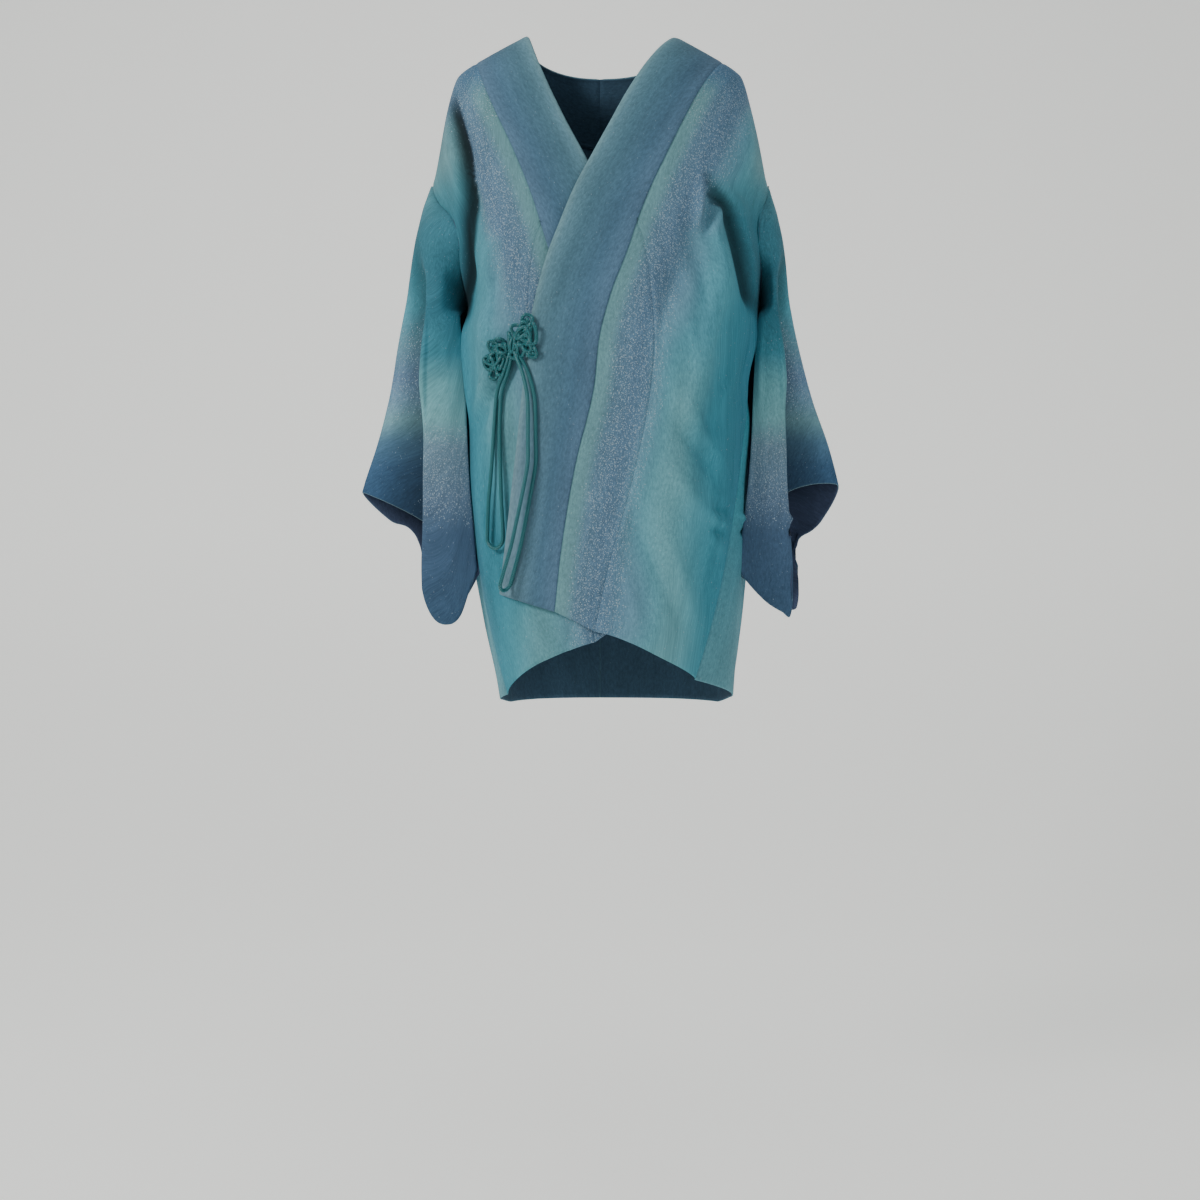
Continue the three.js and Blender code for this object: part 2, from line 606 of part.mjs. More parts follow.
// Hanging loops: each point's width, height and how far its centre line stands off the cloth
const SHORT_LOOP = [
  { x: -102, z: -376, off: 7 },
  { x: -106.5, z: -384, off: 5 },
  { x: -111.5, z: -396, off: 3.6 },
  { x: -115, z: -412, off: 3 },
  { x: -117.5, z: -446, off: 3 },
  { x: -120.5, z: -491, off: 3 },
  { x: -123.5, z: -524, off: 3 },
  { x: -125, z: -553, off: 3 },
  { x: -123, z: -570, off: 3 },
  { x: -116, z: -578, off: 3 },
  { x: -109, z: -570, off: 3 },
  { x: -107.5, z: -552, off: 3 },
  { x: -109, z: -524, off: 3 },
  { x: -110, z: -491, off: 3 },
  { x: -111, z: -446, off: 3 },
  { x: -109.5, z: -412, off: 3 },
  { x: -106, z: -396, off: 3.6 },
  { x: -101, z: -384, off: 5 },
  { x: -96.5, z: -376, off: 7 },
];
const LONG_LOOP = [
  { x: -87, z: -375, off: 6 },
  { x: -81, z: -391, off: 6.5 },
  { x: -77, z: -416, off: 8 },
  { x: -76, z: -460, off: 10 },
  { x: -76, z: -486, off: 11 },
  { x: -80, z: -515, off: 13 },
  { x: -85, z: -545, off: 15 },
  { x: -90, z: -575, off: 17 },
  { x: -96, z: -603, off: 18.5 },
  { x: -99, z: -618, off: 17.5 },
  { x: -100, z: -628, off: 11 },
  { x: -98, z: -619, off: 4.5 },
  { x: -93, z: -603, off: 3 },
  { x: -86, z: -573, off: 3 },
  { x: -80, z: -543, off: 3 },
  { x: -74.5, z: -513, off: 3 },
  { x: -70, z: -486, off: 3 },
  { x: -70, z: -460, off: 3 },
  { x: -71, z: -416, off: 3 },
  { x: -75, z: -392, off: 3 },
  { x: -81, z: -376, off: 3.4 },
];
const LOOP_STEPS = 50;

function solid(geometry) {
  geometry.deleteAttribute('normal');
  geometry.deleteAttribute('uv');
  const merged = mergeVertices(geometry, 1e-4);
  const vertProperties = new Float32Array(merged.attributes.position.array);
  const triVerts = new Uint32Array(merged.index.array);
  return new wasm.Manifold(new wasm.Mesh({ numProp: 3, vertProperties, triVerts }));
}

function joined(geometries) {
  const mesh = geometries.map(solid).reduce((a, b) => a.add(b)).getMesh();
  const geometry = new THREE.BufferGeometry();
  geometry.setAttribute('position', new THREE.BufferAttribute(mesh.vertProperties, 3));
  geometry.setIndex(new THREE.BufferAttribute(mesh.triVerts, 1));
  return geometry;
}

// Local frame on the front: X across the cloth, Y into it and Z up, with its origin on the cloth
function seat({ x, z, lift }) {
  const step = 5;
  const centre = figurePoint('front', x, z, lift);
  const across = figurePoint('front', x + step, z, lift).sub(figurePoint('front', x - step, z, lift));
  const up = figurePoint('front', x, z + step, lift).sub(figurePoint('front', x, z - step, lift));
  across.normalize();
  up.addScaledVector(across, -up.dot(across)).normalize();
  const inward = up.clone().cross(across);
  return new THREE.Matrix4().makeBasis(across, inward, up).setPosition(centre);
}

function flower(knot) {
  const loopRadius = knot.width * 0.2;
  const pieces = [];
  for (let i = 0; i < KNOT.petals; i += 1) {
    const angle = (i / KNOT.petals) * 2 * Math.PI + Math.PI / 2;
    const petal = new THREE.TorusGeometry(loopRadius, CORD / 2, KNOT.sides, KNOT.steps);
    petal.rotateX(Math.PI / 2);
    const reach = loopRadius + CORD / 2;
    const layer = CORD / 2 + KNOT.seat + (i % 2) * CORD * 0.4;
    petal.translate(Math.cos(angle) * (knot.width / 2 - reach), -layer, Math.sin(angle) * (knot.height / 2 - reach));
    pieces.push(petal);
  }
  const boss = new THREE.SphereGeometry(1, 10, 6);
  boss.scale(knot.width * KNOT.boss, KNOT.thick / 2, knot.height * KNOT.boss);
  boss.translate(0, -KNOT.thick / 2 - KNOT.seat, 0);
  pieces.push(boss);
  return pieces.map((piece) => piece.applyMatrix4(seat(knot)));
}

function clasp() {
  const ball = new THREE.SphereGeometry(1, 10, 6);
  ball.scale(CLASP.width / 2, CLASP.thick / 2, CLASP.height / 2);
  ball.translate(0, -CLASP.thick / 2 - KNOT.seat, 0);
  return ball.applyMatrix4(seat(CLASP));
}

function loop(points, lift) {
  const route = points.map(({ x, z, off }) => {
    const frame = seat({ x, z, lift });
    return new THREE.Vector3(0, -off, 0).applyMatrix4(frame);
  });
  const section = new THREE.Shape();
  for (let i = 0; i < CORD_SIDES; i += 1) {
    const angle = (i / CORD_SIDES) * 2 * Math.PI;
    const corner = [Math.cos(angle) * CORD / 2, Math.sin(angle) * CORD / 2];
    if (i === 0) section.moveTo(...corner);
    else section.lineTo(...corner);
  }
  const path = new THREE.CatmullRomCurve3(route);
  return new THREE.ExtrudeGeometry(section, { steps: LOOP_STEPS, extrudePath: path, bevelEnabled: false });
}

const coat = new THREE.Group();
const CREPE = { teal: 0x5c9aa4, grey: 0x8fa9a8, blue: 0x5f7d9b, cord: 0x14787a };

function cloth(colour) {
  return new THREE.MeshStandardMaterial({ color: colour, roughness: 0.75, metalness: 0 });
}

function add(name, geometry, colour) {
  const mesh = new THREE.Mesh(geometry, cloth(colour));
  mesh.name = name;
  coat.add(mesh);
}

for (const [name, hand] of [['left', 1], ['right', -1]]) {
  add(`body_${name}`, bodyPanel(hand), CREPE.teal);
  add(`overlap_${name}`, overlapPanel(hand), CREPE.grey);
  add(`gusset_${name}`, gusset(hand), CREPE.teal);
  add(`collar_${name}`, collar(hand), CREPE.blue);
  add(`sleeve_${name}`, sleeve(hand), CREPE.teal);
}

add('knot_right', joined(flower(KNOTS.right)), CREPE.cord);
add('knot_left', joined([...flower(KNOTS.left), clasp()]), CREPE.cord);
add('loop_short', loop(SHORT_LOOP, 0), CREPE.cord);
add('loop_long', loop(LONG_LOOP, OVERLAP_LIFT + COLLAR_LIFT), CREPE.cord);

export default coat;
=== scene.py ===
"""A worn kimono coat of shaded silk crepe with a corded fastening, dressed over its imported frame."""
import math

import bmesh
import bpy
import numpy as np
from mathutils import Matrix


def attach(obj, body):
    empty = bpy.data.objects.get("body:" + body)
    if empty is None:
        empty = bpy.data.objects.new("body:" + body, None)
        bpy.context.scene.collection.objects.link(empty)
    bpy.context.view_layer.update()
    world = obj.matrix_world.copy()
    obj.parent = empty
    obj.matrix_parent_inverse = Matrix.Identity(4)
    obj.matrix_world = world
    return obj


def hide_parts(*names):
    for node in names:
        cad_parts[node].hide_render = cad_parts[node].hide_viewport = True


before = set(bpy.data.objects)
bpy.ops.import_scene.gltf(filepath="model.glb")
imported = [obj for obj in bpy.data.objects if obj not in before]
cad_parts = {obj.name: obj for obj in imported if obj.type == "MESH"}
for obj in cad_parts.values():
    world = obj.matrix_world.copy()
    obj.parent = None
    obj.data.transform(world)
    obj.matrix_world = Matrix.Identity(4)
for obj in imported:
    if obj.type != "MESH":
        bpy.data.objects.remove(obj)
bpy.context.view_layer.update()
MM = 0.001
DETAIL = 1.0


def table(names, *rows):
    return {name: np.array(column, float) for name, column in zip(names.split(), zip(*rows))}


def table_rows(rows):
    return zip(*rows.values())


# Camera
scene = bpy.context.scene
camera = bpy.data.objects.new("camera", bpy.data.cameras.new("camera"))
camera.data.lens = 40
camera.data.sensor_width = 36
camera.data.clip_end = 20
camera.location = (0, -1.6, -0.636)
camera.rotation_euler = (math.pi / 2, 0, 0)
scene.collection.objects.link(camera)
scene.camera = camera

# Cloth and seams, in millimetres
CLOTH = 1.8
BAND = 3.0
SEAM_GAP = 0.12
OVERLAP_LIFT = 7
COLLAR_LIFT = 1.2

# The general figure that fills the coat
FIGURE = table(
    "z right left front back",
    (100, 205, 205, 112, 138), (-60, 205, 205, 116, 140), (-138, 205, 206, 124, 140),
    (-200, 186, 196, 131, 138), (-285, 157, 189, 134, 138), (-330, 162, 184, 133, 142),
    (-380, 159, 174, 132, 148), (-430, 157, 179, 131, 149), (-510, 155, 174, 130, 146),
    (-600, 145, 170, 128, 141), (-700, 127, 162, 124, 134), (-770, 117, 157, 120, 129),
)
SQUARENESS = 2.5
SHOULDER_ROUND = 100
RIDGE = table(
    "share x z",
    (0, 148, 0), (0.3, 161, -8), (0.45, 169, -17), (0.6, 176, -38), (0.75, 184, -70),
    (0.88, 192, -106), (1, 200, -140),
)
NECK_SLOPE = 0.5
RIDGE_BLEND = 90

# Front openings by height of the collar seam
LEFT_COLLAR = table(
    "z seam free lead",
    (0, 148, 94, 27), (-54, 117, 62, 31), (-105, 91, 31, 34), (-145, 72, 10, 35),
    (-175, 58, -6, 35), (-215, 42, -27, 35), (-254, 29, -44, 33), (-295, 13, -61, 30),
    (-346, -1, -76, 22), (-407, -8, -85, 15), (-489, -28, -94, 15), (-577, -43, -105, 15),
    (-648, -51, -114, 19),
)
RIGHT_COLLAR = table(
    "z seam free lead",
    (0, -148, -88, 30), (-65, -127, -70, 32), (-130, -98, -42, 34), (-186, -76, -13, 34),
    (-253, -55, 20, 32), (-295, -38, 38, 30), (-346, -20, 54, 22), (-407, -6, 66, 15),
    (-489, 12, 78, 15), (-577, 27, 90, 15), (-648, 38, 101, 19),
)
LEFT_OVERLAP = table(
    "z x",
    (-222, 43), (-250, 50), (-300, 57), (-350, 60), (-395, 57), (-440, 50),
    (-487, 40), (-538, 27), (-597, 10), (-680, -8),
)
RIGHT_OVERLAP = table(
    "z x",
    (-222, -68), (-250, -75), (-300, -80), (-350, -78), (-395, -72), (-440, -62),
    (-487, -50), (-538, -37), (-597, -22), (-680, -6),
)
OVERLAP_TOP = -222

# Side edges of the fronts and backs
UNDERARM = -285
LEFT_SIDE = table(
    "z front back",
    (-140, 2, 2), (-182, 68, 66), (-227, 57, 60), (-285, 4, 4), (-330, 16, 14),
    (-380, 36, 25), (-444, 62, 35), (-500, 68, 40), (-561, 79, 45), (-649, 92, 52),
    (-730, 103, 58), (-770, 106, 60),
)
RIGHT_SIDE = table(
    "z front back",
    (-140, 2, 2), (-182, 74, 72), (-227, 72, 66), (-285, 4, 4), (-330, 9, 12), (-380, 12, 20),
    (-444, 16, 30), (-510, 22, 37), (-600, 32, 46), (-700, 55, 54), (-735, 68, 56), (-770, 78, 58),
)
LEFT_HEM = table("x z", (-51, -648), (-6, -670), (44, -697), (106, -726), (157, -760))
RIGHT_HEM = table("x z", (-117, -760), (-101, -741), (-57, -713), (-8, -682), (38, -650))
BACK_HEM = -762
NECK_ROWS = 5
BODY_ROWS = 24
COLLAR_BACK = {"y": 112, "z": 32}

# Largest folds of the body, the same as those of the solids
FOLDS = table(
    "back x1 z1 x2 z2 half rise",
    (0, 120, -190, 70, -330, 16, -5), (0, 150, -230, 110, -420, 18, 5),
    (0, 150, -400, 90, -560, 18, -4), (0, 135, -520, 60, -680, 20, 4),
    (0, -120, -200, -90, -400, 16, -5), (0, -130, -330, -125, -620, 14, 4),
    (1, -130, -120, -90, -330, 18, -5), (1, 130, -120, 85, -330, 18, -5),
    (1, -70, -420, -85, -740, 22, 5), (1, 75, -430, 95, -740, 22, 5),
)

# Smaller creases in the cloth, by side of the coat: ends, half width, and rise, less than 0 in a trough.
# On the front and back the first number of an end is its width, and on the sides its depth.
CREASES = {
    "front": table(
        "a1 z1 a2 z2 half rise",
        (113, -160, 110, -228, 6, 2.6), (126, -178, 116, -226, 7, -3.0),
        (139, -186, 128, -232, 6, 2.2), (126, -226, 146, -288, 11, 2.6),
        (106, -238, 122, -318, 12, -2.2), (92, -300, 112, -420, 14, 1.8),
        (150, -300, 128, -372, 10, -2.0), (158, -352, 132, -430, 9, 1.8),
        (113, -541, 146, -551, 3.2, 1.7), (118, -556, 143, -560, 3.0, -1.6),
        (124, -532, 150, -536, 4.0, -1.3), (120, -565, 140, -580, 4.0, 1.2),
        (80, -427, 134, -510, 10, -2.2), (96, -418, 140, -490, 7, 1.6),
        (66, -470, 132, -566, 11, 2.2), (30, -530, 94, -668, 13, -2.2),
        (70, -560, 112, -668, 11, 1.6), (20, -590, 52, -680, 9, 1.4),
        (143, -361, 112, -460, 12, -1.7), (129, -334, 88, -444, 14, 1.7),
        (88, -250, 58, -365, 12, -1.2), (146, -416, 115, -567, 14, 1.4),
        (-100, -404, -104, -590, 8, -1.3), (-86, -400, -88, -560, 7, 1.1),
        (-92, -226, -108, -326, 8, 1.6), (-118, -254, -124, -332, 8, -1.7),
        (-134, -300, -128, -420, 8, 1.8), (-112, -386, -144, -450, 6, -2.6),
        (-124, -378, -146, -432, 5, 1.8), (-128, -440, -118, -640, 10, -1.6),
        (-140, -480, -138, -620, 7, 1.3), (-60, -690, -92, -726, 6, 1.2),
        (-28, -660, -40, -700, 5, -1.0), (-150, -190, -142, -262, 6, 1.8),
        (-140, -170, -132, -240, 7, -1.8),
    ),
    "back": table(
        "a1 z1 a2 z2 half rise",
        (-60, -90, -110, -260, 16, 2.2), (62, -100, 118, -270, 17, 2.4),
        (-140, -160, -108, -340, 10, -2.2), (138, -170, 104, -350, 11, -2.0),
        (-40, -300, -66, -520, 18, -1.8), (46, -320, 60, -560, 19, -1.9),
        (-110, -430, -118, -700, 14, 1.8), (116, -440, 122, -690, 15, 1.7),
        (8, -180, 20, -460, 15, 1.5), (-120, -300, -96, -380, 7, 1.6),
        (118, -310, 92, -392, 7, 1.5),
    ),
    "left": table(
        "a1 z1 a2 z2 half rise",
        (-40, -300, -58, -420, 8, 1.8), (-10, -310, -22, -450, 9, -1.9),
        (26, -305, 34, -460, 10, 1.9), (-70, -535, -30, -548, 3.5, 1.4),
        (-60, -560, -34, -552, 3.5, -1.2), (-8, -560, 4, -730, 12, 1.4),
        (34, -520, 26, -700, 12, -1.4),
    ),
    "right": table(
        "a1 z1 a2 z2 half rise",
        (-44, -300, -54, -430, 8, 1.8), (-6, -310, -16, -470, 9, -1.8),
        (30, -300, 38, -470, 10, 1.7), (-20, -560, -8, -720, 12, 1.4),
        (36, -500, 24, -690, 12, -1.3),
    ),
}


def at(rows, by, column, place):
    """Smooth value of a named column at places in a table."""
    keys, values = rows[by], rows[column]
    if keys[0] > keys[-1]:
        keys, values = keys[::-1], values[::-1]
    place = np.asarray(place, float)
    slopes = slopes_at(keys, values)
    i = np.clip(np.searchsorted(keys, place, side="right") - 1, 0, len(keys) - 2)
    t = (place - keys[i]) / (keys[i + 1] - keys[i])
    curve = hermite(t, keys[i + 1] - keys[i], values[i], values[i + 1], slopes[i], slopes[i + 1])
    low = values[0] + slopes[0] * (place - keys[0])
    high = values[-1] + slopes[-1] * (place - keys[-1])
    return np.where(t < 0, low, np.where(t > 1, high, curve))


def slopes_at(keys, values):
    """Slope of the values at each key, from the keys before and after it."""
    places = np.arange(len(keys))
    before, after = np.maximum(places - 1, 0), np.minimum(places + 1, len(keys) - 1)
    return ((values[after] - values[before]).T / (keys[after] - keys[before])).T


def hermite(t, span, start, end, start_slope, end_slope):
    rise = (2 * t**3 - 3 * t**2 + 1) * start + (3 * t**2 - 2 * t**3) * end
    return rise + (t**3 - 2 * t**2 + t) * span * start_slope + (t**3 - t**2) * span * end_slope


def mix(a, b, share):
    return a + (b - a) * share


def smooth(low, high, value):
    t = np.clip((np.asarray(value, float) - low) / (high - low), 0, 1)
    return t * t * (3 - 2 * t)


def point(x, y, z):
    return np.stack(np.broadcast_arrays(x, y, z), -1).astype(float)


# Surface of the figure
def ridge_height(x):
    width = np.abs(x)
    inner = RIDGE["z"][0] + (RIDGE["x"][0] - width) * NECK_SLOPE
    return np.where(width < RIDGE["x"][0], inner, at(RIDGE, "x", "z", width))


def half_width(x, z):
    return np.where(np.asarray(x) < 0, at(FIGURE, "z", "right", z), at(FIGURE, "z", "left", z))


def line_place(x, z, x1, z1, x2, z2):
    """Share of the way along a line, and the distance across it."""
    dx, dz = x2 - x1, z2 - z1
    along = ((x - x1) * dx + (z - z1) * dz) / (dx**2 + dz**2)
    return along, ((x - x1) * dz - (z - z1) * dx) / math.hypot(dx, dz)


def fold_rise(side, x, z):
    total = 0
    for back, x1, z1, x2, z2, half, rise in table_rows(FOLDS):
        if back != (side == "back"):
            continue
        along, across = line_place(x, z, x1, z1, x2, z2)
        ends = smooth(-0.1, 0.3, along) * smooth(1.15, 0.7, along)
        total = total + rise * ends * np.exp(-((across / half) ** 2))
    return total


def depth(side, x, z):
    across = np.minimum(np.abs(x) / half_width(x, z), 1)
    section = (1 - across**SQUARENESS) ** (1 / SQUARENESS)
    drop = np.clip((ridge_height(x) - z) / SHOULDER_ROUND, 0, 1)
    shoulder = np.sqrt(1 - (1 - drop) ** 2)
    fold = fold_rise(side, x, z) * smooth(0, 0.5, section)
    return at(FIGURE, "z", side, z) * section * shoulder + fold


def figure_point(side, x, z, lift=0):
    y = depth(side, x, z) + lift
    return point(x, -y if side == "front" else y, z)


def bend(x, z):
    share = np.minimum(np.abs(x) / half_width(x, z), 1)
    return np.sign(x) * np.arcsin(share ** (SQUARENESS / 2))


def unbend(angle, z):
    return np.sign(angle) * half_width(angle, z) * np.sin(np.abs(angle)) ** (2 / SQUARENESS)


def overlap_lift(x):
    return OVERLAP_LIFT * smooth(165, 80, x)


# Body, overlap and gusset panels
BODY_HEM_X = {1: (-6, 100), -1: (-8, -103)}


def row_height(top, bottom, along):
    return mix(top, bottom, along**2 * (1.5 - 0.5 * along**2))


NECK_BOTTOM = row_height(0, BACK_HEM, NECK_ROWS / BODY_ROWS)


def neck_edge(z):
    share = np.clip(z / NECK_BOTTOM, 0, 1)
    return np.maximum(RIDGE["x"][0] * np.cos(share * math.pi / 2) ** 0.9, SEAM_GAP / 2)


def collar_table(hand):
    return LEFT_COLLAR if hand > 0 else RIGHT_COLLAR


def overlap_table(hand):
    return LEFT_OVERLAP if hand > 0 else RIGHT_OVERLAP


def strip_edge(hand, z):
    """Width of the front panel's inner edge: the collar seam, then the seam of the overlap strip."""
    seam = at(collar_table(hand), "z", "seam", z)
    return mix(seam, at(overlap_table(hand), "z", "x", z), smooth(OVERLAP_TOP + 10, OVERLAP_TOP - 10, z))


def inner_edge(hand, side, z):
    if side == "back":
        return hand * neck_edge(z)
    return strip_edge(hand, z) + hand * SEAM_GAP


def outer_angle(hand, side, z):
    sides = LEFT_SIDE if hand > 0 else RIGHT_SIDE
    share = at(sides, "z", side, z) / at(FIGURE, "z", side, z)
    return hand * np.arccos(np.maximum(share, 0) ** (SQUARENESS / 2))


def hem_height(hand, side, x):
    if side == "back":
        return BACK_HEM + 0 * x
    return at(LEFT_HEM if hand > 0 else RIGHT_HEM, "x", "z", x)


def body_place(hand, side, share, top_x, top_z, z):
    inner = inner_edge(hand, side, z)
    angle = mix(bend(inner, z), outer_angle(hand, side, z), share)
    shift = bend(inner, z) - bend(inner_edge(hand, side, top_z), top_z)
    from_ridge = bend(hand * top_x, top_z) + shift * (1 - share)
    x = unbend(mix(from_ridge, angle, smooth(0, RIDGE_BLEND, top_z - z)), z)
    lift = overlap_lift(x) * smooth(0, RIDGE_BLEND, top_z - z) if hand > 0 and side == "front" else 0
    return figure_point(side, x, z, lift)


def shares(hand, count):
    """Shares from the centre outwards, in columns that run towards the wearer's left."""
    share = np.linspace(0, 1, count)[None, :]
    return share if hand > 0 else 1 - share


def body_grid(hand, columns, rows):
    share = shares(hand, columns)
    top_x, top_z = at(RIDGE, "share", "x", share), at(RIDGE, "share", "z", share)
    halves = []
    for side, along in (("back", np.linspace(1, 0, rows)), ("front", np.linspace(0, 1, rows)[1:])):
        hem = hem_height(hand, side, mix(*BODY_HEM_X[hand], share))
        z = row_height(top_z, hem, along[:, None])
        halves.append(body_place(hand, side, share, top_x, top_z, z))
    return settled(np.concatenate(halves), share)


def settled(grid, share):
    """Evens the cloth out below the shoulder's tip, with its edges held."""
    y, z = grid[..., 1], grid[..., 2]
    loose = smooth(0.4, 0.65, share) * smooth(-235, -200, z) * smooth(4, 16, np.abs(y))
    loose = 0.9 * loose[1:-1, 1:-1, None]
    grid = grid.copy()
    for _ in range(160):
        middle = (grid[:-2, 1:-1] + grid[2:, 1:-1] + grid[1:-1, :-2] + grid[1:-1, 2:]) / 4
        grid[1:-1, 1:-1] = mix(grid[1:-1, 1:-1], middle, loose)
    return grid


STRIP_HEM_X = {1: (-51, -6), -1: (38, -8)}


def overlap_grid(hand, columns, rows):
    share = shares(hand, columns)
    along = np.linspace(0, 1, rows)[:, None]
    z = mix(OVERLAP_TOP + 5, hem_height(hand, "front", mix(*STRIP_HEM_X[hand], share)), along)
    seam = at(collar_table(hand), "z", "seam", z) + hand * SEAM_GAP
    x = mix(seam, strip_edge(hand, z) - hand * SEAM_GAP, share)
    return figure_point("front", x, z, overlap_lift(x) if hand > 0 else 0)


def gusset_grid(hand, columns, rows):
    share = shares(hand, columns)
    along = np.linspace(0, 1, rows)[:, None]
    bottom = mix(hem_height(hand, "front", 104 * hand + 0 * share), BACK_HEM, share)
    z = mix(UNDERARM - 6, bottom, along)
    front = np.abs(outer_angle(hand, "front", z)) + 0.003
    back = math.pi - np.abs(outer_angle(hand, "back", z)) - 0.003
    angle = mix(front, back, share)
    ahead = angle < math.pi / 2
    x = unbend(hand * np.where(ahead, angle, math.pi - angle), z)
    lift = overlap_lift(x) if hand > 0 else 0
    return np.where(ahead[..., None], figure_point("front", x, z, lift), figure_point("back", x, z))


# Collar band
COLLAR_CENTRE = 0.1


def collar_front(hand, across, fall):
    rows = collar_table(hand)
    z = row_height(rows["z"][0], rows["z"][-1], fall)
    x = mix(at(rows, "z", "seam", z) - hand * SEAM_GAP, at(rows, "z", "free", z), across)
    height = z + at(rows, "z", "lead", z) * across
    settled = smooth(0, RIDGE_BLEND, rows["z"][0] - z)
    layer = overlap_lift(x) * settled if hand > 0 else 0
    return figure_point("front", x, height, layer + COLLAR_LIFT * settled)


def neck_seam(hand, row):
    z = row_height(RIDGE["z"][0], BACK_HEM, row / BODY_ROWS)
    return figure_point("back", hand * neck_edge(z), z)


def collar_neck(hand, across, turned):
    rows = collar_table(hand)
    seam = neck_seam(hand, turned * NECK_ROWS)
    deepest = neck_seam(hand, np.array(float(NECK_ROWS)))[1]
    turn = np.arctan2(seam[..., 1] / deepest, np.abs(seam[..., 0]) / abs(rows["seam"][0]))
    free_x = np.maximum(abs(rows["free"][0]) * np.cos(turn), COLLAR_CENTRE)
    free_z = mix(rows["z"][0] + rows["lead"][0], COLLAR_BACK["z"], turned)
    free = point(hand * free_x, COLLAR_BACK["y"] * np.sin(turn), free_z)
    seam_x = hand * np.maximum(np.abs(seam[..., 0]) - SEAM_GAP * smooth(1, 0.8, turned), COLLAR_CENTRE)
    sewn = point(seam_x, seam[..., 1], seam[..., 2] + 0.3)
    return mix(sewn, free, across[..., None])


def collar_grid(hand, columns, rows):
    across = shares(-hand, columns)
    neck = np.linspace(1, 0, rows // 4)[:, None]
    fall = np.linspace(0, 1, rows)[1:, None]
    back = collar_neck(hand, np.broadcast_to(across, (len(neck), columns)), neck + 0 * across)
    return np.concatenate([back, collar_front(hand, across + 0 * fall, fall + 0 * across)])


# Sleeves
TURNS = {
    "front": 0, "middle": 0.13, "pleat": 0.26, "valley": 0.37,
    "outer": 0.56, "cuff": 0.7, "back": 0.86, "edge": 1,
}
LEFT_SLEEVE = table(
    "z front pleat valley outer",
    (-144, 202, 202, 203, 202), (-180, 182, 199, 204, 211), (-230, 184, 203, 206, 222),
    (-285, 191, 207, 203, 228), (-340, 187, 209, 200, 240), (-400, 184, 213, 199, 255),
    (-450, 182, 216, 200, 271), (-500, 178, 218, 201, 284), (-560, 171, 222, 202, 296),
    (-600, 167, 225, 204, 304), (-660, 161, 224, 206, 312),
)
RIGHT_SLEEVE = table(
    "z front pleat valley outer",
    (-144, 202, 202, 203, 203), (-180, 172, 198, 204, 214), (-230, 165, 199, 204, 225),
    (-285, 169, 202, 198, 233), (-340, 165, 204, 193, 245), (-400, 161, 205, 190, 255),
    (-450, 159, 205, 188, 266), (-500, 156, 206, 188, 281), (-560, 151, 207, 188, 296),
    (-600, 148, 208, 188, 304), (-660, 140, 206, 188, 312),
)
SLEEVE_DEPTHS = table(
    "z front pleat valley outer cuff back edge",
    (-144, -14, -10, -5, 0, 5, 10, 14), (-180, -66, -52, -36, 0, 30, 48, 62),
    (-230, -64, -56, -38, 0, 34, 50, 60), (-285, -50, -52, -34, -2, 30, 44, 50),
    (-340, -48, -50, -30, -3, 28, 40, 46), (-400, -48, -50, -28, -5, 25, 36, 42),
    (-450, -50, -50, -27, -7, 20, 33, 39), (-520, -52, -50, -27, -9, 14, 28, 35),
    (-600, -46, -46, -26, -10, 6, 18, 26), (-665, -40, -42, -26, -12, 0, 8, 16),
)
LEFT_SLEEVE_FOOT = table(
    "share z",
    (0, -601), (0.1, -628), (0.2, -649), (0.25, -650), (0.37, -528), (0.56, -498),
    (0.7, -550), (0.79, -572), (0.86, -646), (1, -603),
)
RIGHT_SLEEVE_FOOT = table(
    "share z",
    (0, -600), (0.05, -626), (0.1, -654), (0.15, -664), (0.2, -658), (0.26, -624),
    (0.37, -560), (0.56, -507), (0.7, -540), (0.8, -553), (0.87, -600), (0.93, -650),
    (1, -602),
)
SLEEVE_TOP = -141
SLEEVE_CROWDING = 1.35
FOOT_SEAM = {"y": -44, "half": 1.6, "start": -560, "end": -640, "edge_start": -480, "edge_end": -602}
CUFF_SPAN = {"start": 0.24, "full": 0.36, "end": 0.7, "closed": 0.8}


def armhole(hand, side, z):
    return body_place(hand, side, 1.0, RIDGE["x"][-1], RIDGE["z"][-1], z)


